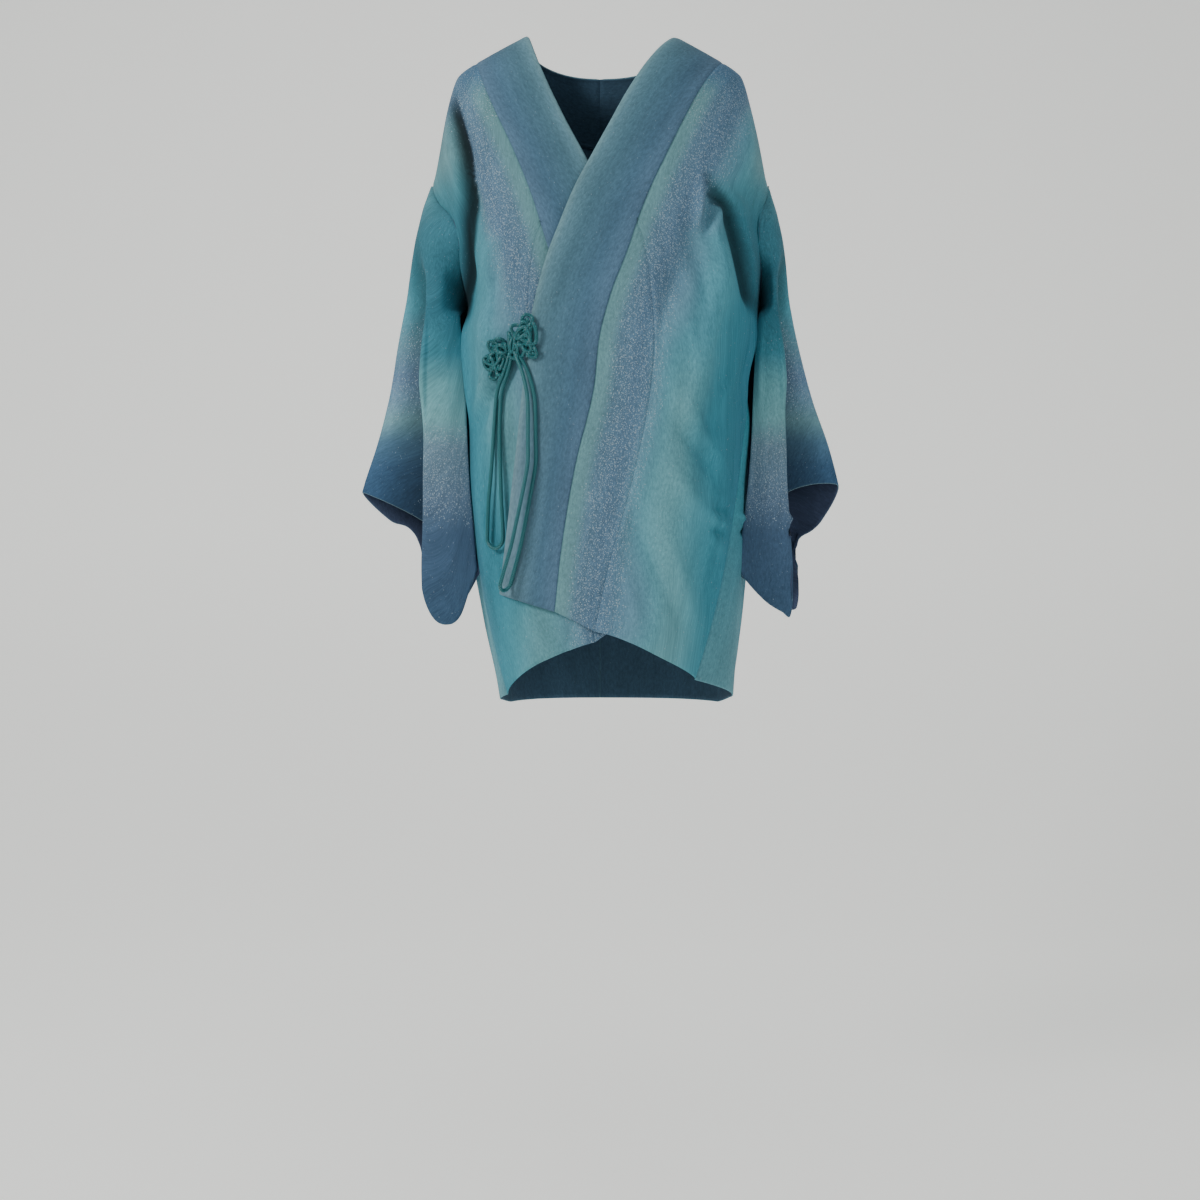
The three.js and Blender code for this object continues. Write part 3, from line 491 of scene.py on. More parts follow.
def sleeve_turns(hand, z):
    """Widths and depths of the sheet's turns at heights, one row of each for every turn."""
    widths = LEFT_SLEEVE if hand > 0 else RIGHT_SLEEVE
    x = {turn: at(widths, "z", turn, z) for turn in ("front", "pleat", "valley", "outer")}
    y = {turn: at(SLEEVE_DEPTHS, "z", turn, z) for turn in TURNS if turn != "middle"}
    low = smooth(UNDERARM, UNDERARM - 18, z)
    x["front"] = x["front"] - (6 if hand > 0 else 5) * low
    x["edge"] = x["front"] + mix(9, -4, low)
    sewn = smooth(UNDERARM - 22, UNDERARM, z)
    for turn, side in (("front", "front"), ("edge", "back")):
        seam = armhole(hand, side, np.maximum(z, UNDERARM))
        x[turn] = mix(x[turn], np.abs(seam[..., 0]), sewn)
        y[turn] = mix(y[turn], seam[..., 1], sewn)
    x["middle"] = (x["front"] + x["pleat"]) / 2
    x["cuff"] = mix(x["outer"], x["pleat"], 0.45 + 0.45 * smooth(-540, -600, z))
    x["back"] = x["pleat"] + 4
    y["middle"] = np.minimum(y["front"], y["pleat"]) - 4 * smooth(-200, -300, z)
    cap = smooth(-275, -205, z)
    xs, ys = [], []
    for turn, share in TURNS.items():
        start = "front" if share < TURNS["outer"] else "edge"
        turned = share / TURNS["outer"] if start == "front" else (1 - share) / (1 - TURNS["outer"])
        cap_x = mix(x[start], x["outer"], math.sin(turned * math.pi / 2) ** 0.85)
        cap_y = y[start] * math.cos(turned * math.pi / 2)
        xs.append(mix(x[turn], cap_x, cap))
        ys.append(mix(y[turn], cap_y, cap))
    return np.array(xs), np.array(ys)


def sleeve_grid(hand, columns, rows):
    share = shares(hand, columns)
    along = np.linspace(0, 1, rows)[:, None]
    foot = at(LEFT_SLEEVE_FOOT if hand > 0 else RIGHT_SLEEVE_FOOT, "share", "z", share)
    z = mix(SLEEVE_TOP, foot, along**SLEEVE_CROWDING)
    xs, ys = sleeve_turns(hand, z)
    keys = np.array(list(TURNS.values()))
    grid = np.empty(z.shape + (3,))
    for c in range(columns):
        place = share[0, c]
        i = min(max(int(np.searchsorted(keys, place, side="right")) - 1, 0), len(keys) - 2)
        span = keys[i + 1] - keys[i]
        t = (place - keys[i]) / span
        for axis, values in ((0, xs[:, :, c]), (1, ys[:, :, c])):
            slopes = slopes_at(keys, values)
            grid[:, c, axis] = hermite(t, span, values[i], values[i + 1], slopes[i], slopes[i + 1])
    grid[..., 2] = z
    closed = smooth(CUFF_SPAN["full"], CUFF_SPAN["start"], share)
    closed = closed + smooth(CUFF_SPAN["end"], CUFF_SPAN["closed"], share)
    start = mix(FOOT_SEAM["start"], FOOT_SEAM["edge_start"], smooth(0.88, 1, share))
    end = mix(FOOT_SEAM["end"], FOOT_SEAM["edge_end"], smooth(0.93, 1, share))
    reach = np.clip((z - start) / (end - start), 0, 1)
    pinched = closed * reach * reach * (3 - 2 * reach)
    layer = np.where(share < 0.5, -FOOT_SEAM["half"], FOOT_SEAM["half"])
    grid[..., 1] = mix(grid[..., 1], FOOT_SEAM["y"] + layer, pinched)
    grid[..., 0] *= hand
    return grid, share + 0 * z


# Creases and unevenness of the cloth. The rises in the tables are multiplied by the strength.
CREASE_STRENGTH = 3.2


def crease_rise(points, normals):
    """How far the cloth stands off its solid's form at each point, in millimetres."""
    x, y, z = (points[..., axis] for axis in range(3))
    out_x, out_y = normals[..., 0], normals[..., 1]
    facing = {"front": -out_y, "back": out_y, "left": out_x, "right": -out_x}
    total = 0.55 * np.sin(x / 31 + z / 57 + 1.3) * np.sin(z / 83 - x / 49 + y / 40)
    total = total + 0.35 * np.sin(z / 23 + x / 19 + 0.7) * np.sin(x / 37 - z / 61 + y / 29)
    for side, rows in CREASES.items():
        across_axis = x if side in ("front", "back") else y
        weight = smooth(0.25, 0.6, facing[side])
        for a1, z1, a2, z2, half, rise in table_rows(rows):
            along, across = line_place(across_axis, z, a1, z1, a2, z2)
            across = across + 0.14 * half * np.sin(along * 5 + a1)
            ends = smooth(-0.15, 0.35, along) * smooth(1.2, 0.6, along)
            total = total + CREASE_STRENGTH * weight * rise * ends * np.exp(-np.abs(across / half) ** 1.7)
    return total


# Deep folds of the fronts between the shoulder and the armhole: the line, half width, trough, the lip
# outside it, how much painted shade darkens the dye in it, and the heights over which it starts and ends
DEEP_FOLDS = {
    -1: {
        "line": table(
            "z x",
            (-36, 171), (-109, 155), (-139, 149), (-187, 146),
            (-229, 146), (-261, 149), (-293, 153), (-320, 158),
        ),
        "half": 8, "rise": -9, "lip": 3.5, "shade": 0.9,
        "top": (-40, -90), "start": (-60, -130), "bottom": (-325, -300),
    },
    1: {
        "line": table(
            "z x",
            (-150, 108), (-164, 118), (-182, 129), (-200, 142), (-249, 158), (-291, 171), (-310, 176),
        ),
        "half": 8.5, "rise": -9, "lip": 4, "shade": 0.75,
        "top": (-150, -190), "start": (-145, -175), "bottom": (-312, -286),
    },
}


def deep_fold(hand, points):
    """Distance outwards from a front's deep fold, and how strong the fold is at that height."""
    fold = DEEP_FOLDS[hand]
    x, y, z = (points[..., axis] for axis in range(3))
    slope = (at(fold["line"], "z", "x", z - 3) - at(fold["line"], "z", "x", z + 3)) / 6
    outwards = (np.abs(x) - at(fold["line"], "z", "x", z)) / np.sqrt(1 + slope**2)
    strength = smooth(*fold["top"], z) * smooth(*fold["bottom"], z) * (y < 0)
    return outwards, strength


def deep_rise(hand, points):
    fold = DEEP_FOLDS[hand]
    outwards, strength = deep_fold(hand, points)
    strength = strength * smooth(0.15, 0.55, -grid_normals(points)[..., 1])
    strength = strength * smooth(*fold["start"], points[..., 2])
    trough = fold["rise"] * np.exp(-np.abs(outwards / fold["half"]) ** 1.8)
    lip = fold["lip"] * np.exp(-(((outwards - 2 * fold["half"]) / fold["half"]) ** 2))
    return strength * (trough + lip)


def grid_normals(grid):
    across = np.gradient(grid, axis=1)
    down = np.gradient(grid, axis=0)
    normal = np.cross(down, across)
    return normal / np.maximum(np.linalg.norm(normal, axis=-1, keepdims=True), 1e-9)


def distances(grid, axis):
    """Distance along the cloth from the first line of points."""
    steps = np.linalg.norm(np.diff(grid, axis=axis), axis=-1)
    zero = np.zeros_like(np.take(steps, [0], axis=axis))
    return np.concatenate([zero, np.cumsum(steps, axis=axis)], axis=axis)


def ramp(stops, value):
    """Colour along stops of (place, hex colour), in linear light."""
    places = [place for place, _ in stops]
    colours = np.array([linear(colour) for _, colour in stops])
    return np.stack([np.interp(value, places, colours[:, channel]) for channel in range(3)], -1)


def linear(colour):
    values = [int(colour[i : i + 2], 16) / 255 for i in (0, 2, 4)]
    return [v / 12.92 if v <= 0.04045 else ((v + 0.055) / 1.055) ** 2.4 for v in values]


def placed(mesh, name):
    """An object of a mesh, with the mesh's faces turned outwards and shaded smooth."""
    work = bmesh.new()
    work.from_mesh(mesh)
    bmesh.ops.recalc_face_normals(work, faces=work.faces)
    work.to_mesh(mesh)
    work.free()
    mesh.shade_smooth()
    obj = bpy.data.objects.new(name, mesh)
    scene.collection.objects.link(obj)
    return obj


def cloth_mesh(name, grid, thickness, dye, speck, lining, edge_tint=0.0):
    """A thin closed shell of outer points, inner points and a rounded edge, with dye and speckle."""
    rows, columns = grid.shape[:2]
    normals = grid_normals(grid)
    inner = grid - normals * thickness
    index = np.arange(rows * columns).reshape(rows, columns)
    border = np.concatenate([index[0, :-1], index[:-1, -1], index[-1, :0:-1], index[:0:-1, 0]])
    inward = grid.copy()
    inward[0], inward[-1] = grid[1], grid[-2]
    inward[1:-1, 0], inward[1:-1, -1] = grid[1:-1, 1], grid[1:-1, -2]
    for r, c, r2, c2 in ((0, 0, 1, 1), (0, -1, 1, -2), (-1, 0, -2, 1), (-1, -1, -2, -2)):
        inward[r, c] = grid[r2, c2]
    outer_flat, inner_flat = grid.reshape(-1, 3), inner.reshape(-1, 3)
    away = outer_flat[border] - inward.reshape(-1, 3)[border]
    away /= np.maximum(np.linalg.norm(away, axis=-1, keepdims=True), 1e-9)
    rim = (outer_flat[border] + inner_flat[border]) / 2 + away * thickness * 0.45
    points = np.concatenate([outer_flat, inner_flat, rim]) * MM
    count = rows * columns
    a, b, c, d = index[:-1, :-1], index[:-1, 1:], index[1:, 1:], index[1:, :-1]
    outer_faces = np.stack([a, d, c, b], -1).reshape(-1, 4)
    inner_faces = np.stack([a, b, c, d], -1).reshape(-1, 4) + count
    edge = np.arange(len(border))
    after = np.roll(edge, -1)
    first = np.stack([border, border[after], 2 * count + after, 2 * count + edge], -1)
    second = np.stack([2 * count + edge, 2 * count + after, border[after] + count, border + count], -1)
    faces = np.concatenate([outer_faces, inner_faces, first, second])
    mesh = bpy.data.meshes.new(name)
    mesh.from_pydata(points.tolist(), [], faces.tolist())
    dye_flat = dye.reshape(-1, 3)
    rim_dye = mix(dye_flat[border], np.array(linear("8fb2b8")), edge_tint)
    colours = np.concatenate([dye_flat, np.broadcast_to(linear(lining), dye_flat.shape), rim_dye])
    colours = np.concatenate([colours, np.ones((len(colours), 1))], 1)
    layer = mesh.color_attributes.new("dye", "FLOAT_COLOR", "POINT")
    layer.data.foreach_set("color", colours.astype(np.float32).ravel())
    speck_flat = speck.ravel()
    specks = np.concatenate([speck_flat, 0 * speck_flat, 0.3 * speck_flat[border]])
    mesh.attributes.new("speck", "FLOAT", "POINT").data.foreach_set("value", specks.astype(np.float32))
    along, fall = distances(grid, 1).ravel(), distances(grid, 0).ravel()
    flat = np.concatenate([np.stack([along, fall], -1)] * 2 + [np.stack([along, fall], -1)[border]]) * MM
    uv = mesh.uv_layers.new(name="cloth")
    uv.data.foreach_set("uv", flat[faces.ravel()].astype(np.float32).ravel())
    return placed(mesh, name)


# Materials
def node_tree(material):
    material.use_nodes = True
    nodes, links = material.node_tree.nodes, material.node_tree.links
    nodes.clear()
    shader = nodes.new("ShaderNodeBsdfPrincipled")
    output = nodes.new("ShaderNodeOutputMaterial")
    links.new(shader.outputs["BSDF"], output.inputs["Surface"])
    return nodes, links, shader


def feed(links, socket, value):
    if isinstance(value, (int, float, tuple)):
        socket.default_value = value
    else:
        links.new(value, socket)


def math_node(nodes, links, operation, *values):
    node = nodes.new("ShaderNodeMath")
    node.operation = operation
    for socket, value in zip(node.inputs, values):
        feed(links, socket, value)
    return node.outputs[0]


def span_node(nodes, links, value, low, high, to_low=0.0, to_high=1.0):
    node = nodes.new("ShaderNodeMapRange")
    links.new(value, node.inputs["Value"])
    for name, number in (("From Min", low), ("From Max", high), ("To Min", to_low), ("To Max", to_high)):
        node.inputs[name].default_value = number
    return node.outputs["Result"]


def mix_node(nodes, links, factor, first, second, blend="MIX"):
    node = nodes.new("ShaderNodeMix")
    node.data_type = "RGBA"
    node.blend_type = blend
    for place, value in ((0, factor), (6, first), (7, second)):
        feed(links, node.inputs[place], value)
    return node.outputs[2]


def scaled_coordinates(nodes, links, source, scale):
    node = nodes.new("ShaderNodeVectorMath")
    node.operation = "MULTIPLY"
    links.new(source, node.inputs[0])
    node.inputs[1].default_value = scale
    return node.outputs[0]


def noise_node(nodes, links, vector, stretch, detail=2.0, roughness=0.5, scale=1.0):
    node = nodes.new("ShaderNodeTexNoise")
    if stretch:
        vector = scaled_coordinates(nodes, links, vector, stretch)
    links.new(vector, node.inputs["Vector"])
    node.inputs["Scale"].default_value = scale
    node.inputs["Detail"].default_value = detail
    node.inputs["Roughness"].default_value = roughness
    return node.outputs["Fac"]


def attribute_node(nodes, name):
    node = nodes.new("ShaderNodeAttribute")
    node.attribute_name = name
    return node


def cloth_coordinates(nodes):
    node = nodes.new("ShaderNodeUVMap")
    node.uv_map = "cloth"
    return node.outputs["UV"]


def add_bump(nodes, links, shader, height, strength, distance):
    bump = nodes.new("ShaderNodeBump")
    bump.inputs["Strength"].default_value = strength
    bump.inputs["Distance"].default_value = distance
    links.new(height, bump.inputs["Height"])
    links.new(bump.outputs["Normal"], shader.inputs["Normal"])


def crepe_material(name):
    """Dull crepe: dye from the mesh, a crinkled grain along the cloth, and light flecks where speckled."""
    material = bpy.data.materials.new(name)
    nodes, links, shader = node_tree(material)
    dye = attribute_node(nodes, "dye")
    speck = attribute_node(nodes, "speck")
    cloth = cloth_coordinates(nodes)

    grain, weave, cloud, streak = (
        noise_node(nodes, links, cloth, (across, along, 1), detail, roughness)
        for across, along, detail, roughness in (
            (1500, 520, 3, 0.62), (420, 170, 2, 0.5), (16, 9, 3, 0.55), (90, 4, 2, 0.5)
        )
    )
    tone = math_node(nodes, links, "MULTIPLY_ADD", grain, 0.7, 0.65)
    for pattern, low, high in ((weave, 0.84, 1.16), (cloud, 0.86, 1.14), (streak, 0.94, 1.06)):
        spread = span_node(nodes, links, pattern, 0.3, 0.7, low, high)
        tone = math_node(nodes, links, "MULTIPLY", tone, spread)
    grey = nodes.new("ShaderNodeCombineColor")
    for socket in grey.inputs[:3]:
        links.new(tone, socket)
    base = mix_node(nodes, links, 1.0, dye.outputs["Color"], grey.outputs[0], "MULTIPLY")

    solid = nodes.new("ShaderNodeTexCoord").outputs["Object"]
    warp = nodes.new("ShaderNodeTexNoise")
    links.new(solid, warp.inputs["Vector"])
    warp.inputs["Scale"].default_value = 520
    bent = nodes.new("ShaderNodeVectorMath")
    bent.operation = "MULTIPLY_ADD"
    links.new(warp.outputs["Color"], bent.inputs[0])
    bent.inputs[1].default_value = (0.0014, 0.0014, 0.0014)
    links.new(solid, bent.inputs[2])
    flecks = []
    for scale, size in ((690, 0.46), (1080, 0.48)):
        cell = nodes.new("ShaderNodeTexVoronoi")
        cell.feature = "F1"
        links.new(scaled_coordinates(nodes, links, bent.outputs[0], (1, 1, 0.7)), cell.inputs["Vector"])
        cell.inputs["Scale"].default_value = scale
        chance = nodes.new("ShaderNodeSeparateColor")
        links.new(cell.outputs["Color"], chance.inputs[0])
        reach = math_node(nodes, links, "MULTIPLY", chance.outputs[0], size)
        spot = math_node(nodes, links, "SUBTRACT", reach, cell.outputs["Distance"])
        spot = span_node(nodes, links, spot, -0.01, 0.06)
        allowed = math_node(nodes, links, "SUBTRACT", speck.outputs["Fac"], chance.outputs[1])
        shown = span_node(nodes, links, allowed, -0.02, 0.06)
        flecks.append(math_node(nodes, links, "MULTIPLY", spot, shown))
    fleck = math_node(nodes, links, "MAXIMUM", *flecks)
    fleck = math_node(nodes, links, "MULTIPLY", fleck, 0.62)
    light = mix_node(nodes, links, 0.8, base, (0.5, 0.62, 0.7, 1))
    base = mix_node(nodes, links, fleck, base, light)
    links.new(base, shader.inputs["Base Color"])

    links.new(span_node(nodes, links, grain, 0.3, 0.7, 0.86, 0.74), shader.inputs["Roughness"])
    shader.inputs["Specular IOR Level"].default_value = 0.14
    shader.inputs["Sheen Weight"].default_value = 0.03
    shader.inputs["Sheen Roughness"].default_value = 0.5
    shader.inputs["Sheen Tint"].default_value = (0.75, 0.9, 0.95, 1)
    height = math_node(nodes, links, "MULTIPLY_ADD", weave, 0.9, grain)
    add_bump(nodes, links, shader, height, 0.5, 0.00045)
    return material


def cord_material(name):
    """Braided silk cord: deep emerald teal, with painted shade between the plaits and a painted highlight
    on their crowns.
    """
    material = bpy.data.materials.new(name)
    nodes, links, shader = node_tree(material)
    plait = attribute_node(nodes, "plait")
    thread = noise_node(nodes, links, cloth_coordinates(nodes), (2600, 1400, 1))
    shade = math_node(nodes, links, "MULTIPLY_ADD", thread, 0.5, -0.25)
    shade = math_node(nodes, links, "ADD", plait.outputs["Fac"], shade)
    # The colour follows the plaits' height: painted shade in the grooves and a painted highlight on the
    # crowns
    colour = nodes.new("ShaderNodeValToRGB")
    colour.color_ramp.elements[0].position = 0.05
    colour.color_ramp.elements[0].color = (*linear("021d24"), 1)
    colour.color_ramp.elements[1].position = 0.98
    colour.color_ramp.elements[1].color = (*linear("2f9496"), 1)
    middle = colour.color_ramp.elements.new(0.6)
    middle.color = (*linear("084852"), 1)
    links.new(shade, colour.inputs["Fac"])
    links.new(colour.outputs["Color"], shader.inputs["Base Color"])
    shader.inputs["Roughness"].default_value = 0.4
    shader.inputs["Specular IOR Level"].default_value = 0.5
    shader.inputs["Sheen Weight"].default_value = 0.05
    shader.inputs["Sheen Tint"].default_value = (0.5, 0.95, 0.9, 1)
    add_bump(nodes, links, shader, thread, 0.35, 0.0002)
    return material


def plain_material(name, colour, roughness, glow):
    material = bpy.data.materials.new(name)
    nodes, links, shader = node_tree(material)
    place = nodes.new("ShaderNodeNewGeometry")
    spread = noise_node(nodes, links, place.outputs["Position"], None, scale=3.0)
    light = tuple(min(v * 1.04, 1) for v in linear(colour)) + (1,)
    base = mix_node(nodes, links, spread, tuple(linear(colour)) + (1,), light)
    links.new(base, shader.inputs["Base Color"])
    shader.inputs["Roughness"].default_value = roughness
    shader.inputs["Emission Color"].default_value = (*linear(colour), 1)
    shader.inputs["Emission Strength"].default_value = glow
    return material


# Dye, by distance from the collar seam on the body and by height on the sleeves
BODY_DYE = [
    (0, "659297"), (13, "669098"), (24, "59798e"), (44, "56748d"), (58, "597a92"),
    (72, "628fa2"), (95, "5694a4"), (128, "5096a6"), (170, "3e8799"), (230, "3b7b8f"),
]
SHOULDER_DYE = [
    (20, "486d89"), (60, "4a6f8b"), (95, "628e98"), (130, "67979f"), (165, "4c8895"),
    (205, "3a7686"), (300, "356e7f"),
]
SLEEVE_DYE = [
    (60, "4b708d"), (95, "66909a"), (130, "6998a0"), (165, "518a96"), (205, "3d7686"),
    (300, "356e7f"), (350, "3f8191"), (385, "67a2aa"), (425, "70a5ab"), (458, "688596"),
    (520, "5b738b"), (560, "455e79"), (665, "3d5872"),
]
OUTER_DYE = [
    (60, "4b708d"), (95, "648d9a"), (135, "58909d"), (175, "3f7e8d"), (230, "316e7d"),
    (290, "458493"), (330, "5a8392"), (370, "5a758e"), (398, "618397"), (422, "668e98"),
    (448, "47687f"), (478, "35526d"), (540, "2e4a66"), (610, "304e69"),
]
COLLAR_DYE = [(0, "547189"), (0.3, "496a80"), (0.7, "4c7080"), (0.9, "5b818f"), (1, "6a8f98")]
GUSSET_DYE = [
    (290, "307a8c"), (430, "388798"), (520, "428f9f"), (600, "4d8a99"), (760, "5f929d"),
]
LINING = "3a5468"
SIDE_TONE = {-1: 0.95, 1: 1.0}


def body_dye(d, z, hand, points):
    """Bands along the collar seam, a paler lower band, the shoulder's bands above the sleeve, and painted
    shade in the deep fold.
    """
    drift = smooth(50, 95, d) * (13 * np.sin(z / 66 + 2.2 * hand) + 6 * np.sin(z / 27 + d / 40 + 1))
    colour = ramp(BODY_DYE, d + drift)
    d = d + drift
    light = np.exp(-(((d - (116 if hand > 0 else 104)) / 26) ** 2)) * smooth(-330, -430, z) * 0.5
    colour = mix(colour, np.array(linear("72a0a3")), light[..., None])
    shoulder = smooth(70, 130, d) * smooth(-235, -175, z)
    outwards, strength = deep_fold(hand, points)
    shoulder = mix(shoulder, smooth(-3, 5, outwards), strength)
    shoulder = np.maximum(shoulder, smooth(-80, -28, z))
    colour = mix(colour, ramp(SHOULDER_DYE, -z), shoulder[..., None])
    # Painted shade: the dye is darkened along the deep fold where its shadow falls, and the right side's
    # dye is a little darker throughout
    shade = SIDE_TONE[hand] * (1 - DEEP_FOLDS[hand]["shade"] * fold_shade(outwards, strength))
    return colour * shade[..., None]


def fold_shade(outwards, strength):
    """Share of the painted shade that darkens the dye across a deep fold, softer on the outer side."""
    return strength * smooth(-6, -0.5, outwards) * smooth(16, 3, outwards)


def body_speck(d, z, hand, points):
    band = smooth(10, 30, d) * smooth(86, 60, d)
    shoulder = smooth(-120, -80, z)
    outwards, strength = deep_fold(hand, points)
    outside = strength * smooth(-3, 4, outwards)
    speck = mix(np.maximum(0.85 * band, 0.5 * shoulder), 0.4 * shoulder, outside) + 0.03
    # Flecks fade out in the deep fold's painted shade
    return speck * (1 - fold_shade(outwards, strength))


def overlap_width(hand, z):
    return np.abs(strip_edge(hand, z) - at(collar_table(hand), "z", "seam", z))


CREPE_NAMES = ("crepe_body", "crepe_overlap", "crepe_collar", "crepe_sleeve")
CREPE = {name: crepe_material(name) for name in CREPE_NAMES}


def dip(distance, deep=0.8, width=2.2):
    """Cloth turns in a little along a seam."""
    return -deep * np.exp(-((distance / width) ** 2))


def dress(node, slot, grid, thickness, dye, speck,
          edge_tint=0.0, extra=0.0, lining=LINING):
    """Lays creases and seams into a sheet's grid, makes its cloth, and has it stand for its node."""
    normals = grid_normals(grid)
    across = distances(grid, 1)
    other = across[:, -1:] - across
    sides = dip(across) + dip(other)
    free = smooth(0, 12, across) * smooth(0, 12, other)
    grid = grid + normals * ((crease_rise(grid, normals) + extra) * free + sides)[..., None]
    obj = cloth_mesh("cloth_" + node, grid, thickness, dye, speck, lining, edge_tint)
    obj.data.materials.append(CREPE[slot])
    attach(obj, "root")
    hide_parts(node)


def count(number):
    return int(number * DETAIL)


def panel_dye(hand, grid, start=0):
    """Dye and speckle of a panel that starts at a distance from the collar seam."""
    across = distances(grid, 1)
    d = (across if hand > 0 else across[:, -1:] - across) + start
    z = grid[..., 2]
    return body_dye(d, z, hand, grid), body_speck(d, z, hand, grid)


def make_body(hand, side_name):
    grid = body_grid(hand, count(150), count(160))
    on_front = grid[..., 1] < 0
    dye, speck = panel_dye(hand, grid, np.where(on_front, overlap_width(hand, grid[..., 2]), 0))
    dress("body_" + side_name, "crepe_body", grid, CLOTH, dye, speck,
          extra=deep_rise(hand, grid))


def make_overlap(hand, side_name):
    grid = overlap_grid(hand, count(36), count(180))
    dye, speck = panel_dye(hand, grid)
    dress("overlap_" + side_name, "crepe_overlap", grid, CLOTH, dye, speck)


def make_gusset(hand, side_name):
    grid = gusset_grid(hand, count(52), count(150))
    z = grid[..., 2]
    dye = ramp(GUSSET_DYE, -z)
    speck = 0.03 + 0 * z
    dress("gusset_" + side_name, "crepe_body", grid, CLOTH, dye, speck)


def make_collar(hand, side_name):
    grid = collar_grid(hand, count(44), count(240))
    across = shares(-hand, grid.shape[1]) + 0 * grid[..., 0]
    dye = ramp(COLLAR_DYE, across)
    lower = smooth(-380, -520, grid[..., 2]) * smooth(0.3, 1, across)
    dye = mix(dye, np.array(linear("708c9c")), 0.5 * lower[..., None])
    speck = 0.02 + 0 * across
    dress("collar_" + side_name, "crepe_collar", grid, BAND, dye, speck)


def make_sleeve(hand, side_name):
    """The sheet's part that faces outwards has its own bands, with painted shade in the valley beside the
    front and a painted highlight on the outer rim.
    """
    grid, share = sleeve_grid(hand, count(180), count(130))
    z = grid[..., 2]
    outer = smooth(0.28, 0.38, share) * smooth(0.74, 0.6, share)
    dye = mix(ramp(SLEEVE_DYE, -z), ramp(OUTER_DYE, -z), outer[..., None])
    inner_speck = smooth(425, 455, -z) * smooth(560, 520, -z)
    outer_speck = 0.6 * smooth(290, 340, -z) * smooth(430, 390, -z)
    # Painted shade in the valley beside the front and a painted highlight along the outer rim, below the
    # cap
    valley = smooth(0.27, 0.35, share) * smooth(0.54, 0.38, share)
    rim = smooth(0.46, 0.55, share) * smooth(0.62, 0.57, share)
    hanging = smooth(-190, -290, z)
    dye = dye * (1 + hanging * (0.35 * rim - 0.5 * valley))[..., None]
    speck = 0.7 * mix(inner_speck, outer_speck, outer) + 0.03
    dress("sleeve_" + side_name, "crepe_sleeve", grid, CLOTH, dye, speck,
          edge_tint=0.6, lining="434f69")


for hand, side_name in ((-1, "right"), (1, "left")):
    make_body(hand, side_name)
    make_overlap(hand, side_name)
    make_gusset(hand, side_name)
    make_collar(hand, side_name)
    make_sleeve(hand, side_name)

# Cords
CORD = 4.4
SHORT_LOOP = table(
    "x z off",
    (-98, -362, 7), (-100, -370, 7.5), (-103, -377, 6.6), (-106.5, -385, 5),
    (-111.5, -396, 3.6), (-115, -412, 3), (-117.5, -446, 3), (-120.5, -491, 3),
    (-123.5, -524, 3), (-124.8, -552, 3), (-125.2, -566.5, 3), (-124, -571.7, 3),
    (-120.7, -575.8, 3), (-116.2, -577.4, 3), (-111.7, -575.8, 3), (-108.4, -571.7, 3),
    (-107.2, -566.5, 3), (-107.4, -552, 3), (-109, -524, 3), (-110, -491, 3),
    (-111, -446, 3), (-109.5, -412, 3), (-106, -396, 3.6), (-101.5, -385, 5),
    (-98, -376, 6.6), (-95.5, -368, 7.5), (-95, -361, 7),
)
LONG_LOOP = table(
    "x z off",
    (-91, -362, 7), (-88, -370, 7.5), (-84.5, -379, 7.5), (-81, -391, 7.5),
    (-77, -416, 8), (-76, -460, 10), (-76, -486, 11), (-80, -515, 13),
    (-85, -545, 15), (-90, -575, 17), (-95.5, -600, 18.6), (-98.5, -615.5, 20),
    (-99.4, -620, 18.9), (-99.9, -623.2, 15.8), (-100, -624.4, 11.4), (-99.5, -623.2, 7),
    (-98.7, -620, 3.9), (-97.5, -615.5, 2.8), (-93.6, -602, 3), (-86, -573, 3),
    (-80, -543, 3), (-74.5, -513, 3), (-70, -486, 3), (-70, -460, 3),
    (-71, -416, 3), (-76, -392, 3.2), (-81, -378, 3.6), (-86, -368, 5),
    (-89, -361, 6),
)


def seat(x, z, lift):
    """Frame on the front at a width and height: across, into the cloth, up, and its origin."""
    centre = figure_point("front", x, z, lift)
    across = figure_point("front", x + 5, z, lift) - figure_point("front", x - 5, z, lift)
    up = figure_point("front", x, z + 5, lift) - figure_point("front", x, z - 5, lift)
    across /= np.linalg.norm(across)
    up -= across * np.dot(up, across)
    up /= np.linalg.norm(up)
    return across, np.cross(up, across), up, centre


def rounded(route, step, closed=False):
    """Points at even steps along a smooth curve through a route."""
    route = np.asarray(route, float)
    if closed:
        ring = np.concatenate([route[-1:], route, route[:2]])
    else:
        ring = np.concatenate([2 * route[:1] - route[1:2], route, 2 * route[-1:] - route[-2:-1]])
    t = np.linspace(0, 1, 12, endpoint=False)[:, None]
    pieces = []
    for p0, p1, p2, p3 in zip(ring[:-3], ring[1:-2], ring[2:-1], ring[3:]):
        pieces.append(0.5 * (2 * p1 + (p2 - p0) * t + (2 * p0 - 5 * p1 + 4 * p2 - p3) * t**2
                             + (3 * p1 - p0 - 3 * p2 + p3) * t**3))
    line = np.concatenate(pieces + [ring[-2:-1]])
    lengths = np.concatenate([[0], np.cumsum(np.linalg.norm(np.diff(line, axis=0), axis=1))])
    number = max(int(round(lengths[-1] / step)), 8)
    places = np.linspace(0, lengths[-1], number + 1)
    return np.stack([np.interp(places, lengths, line[:, axis]) for axis in range(3)], -1)


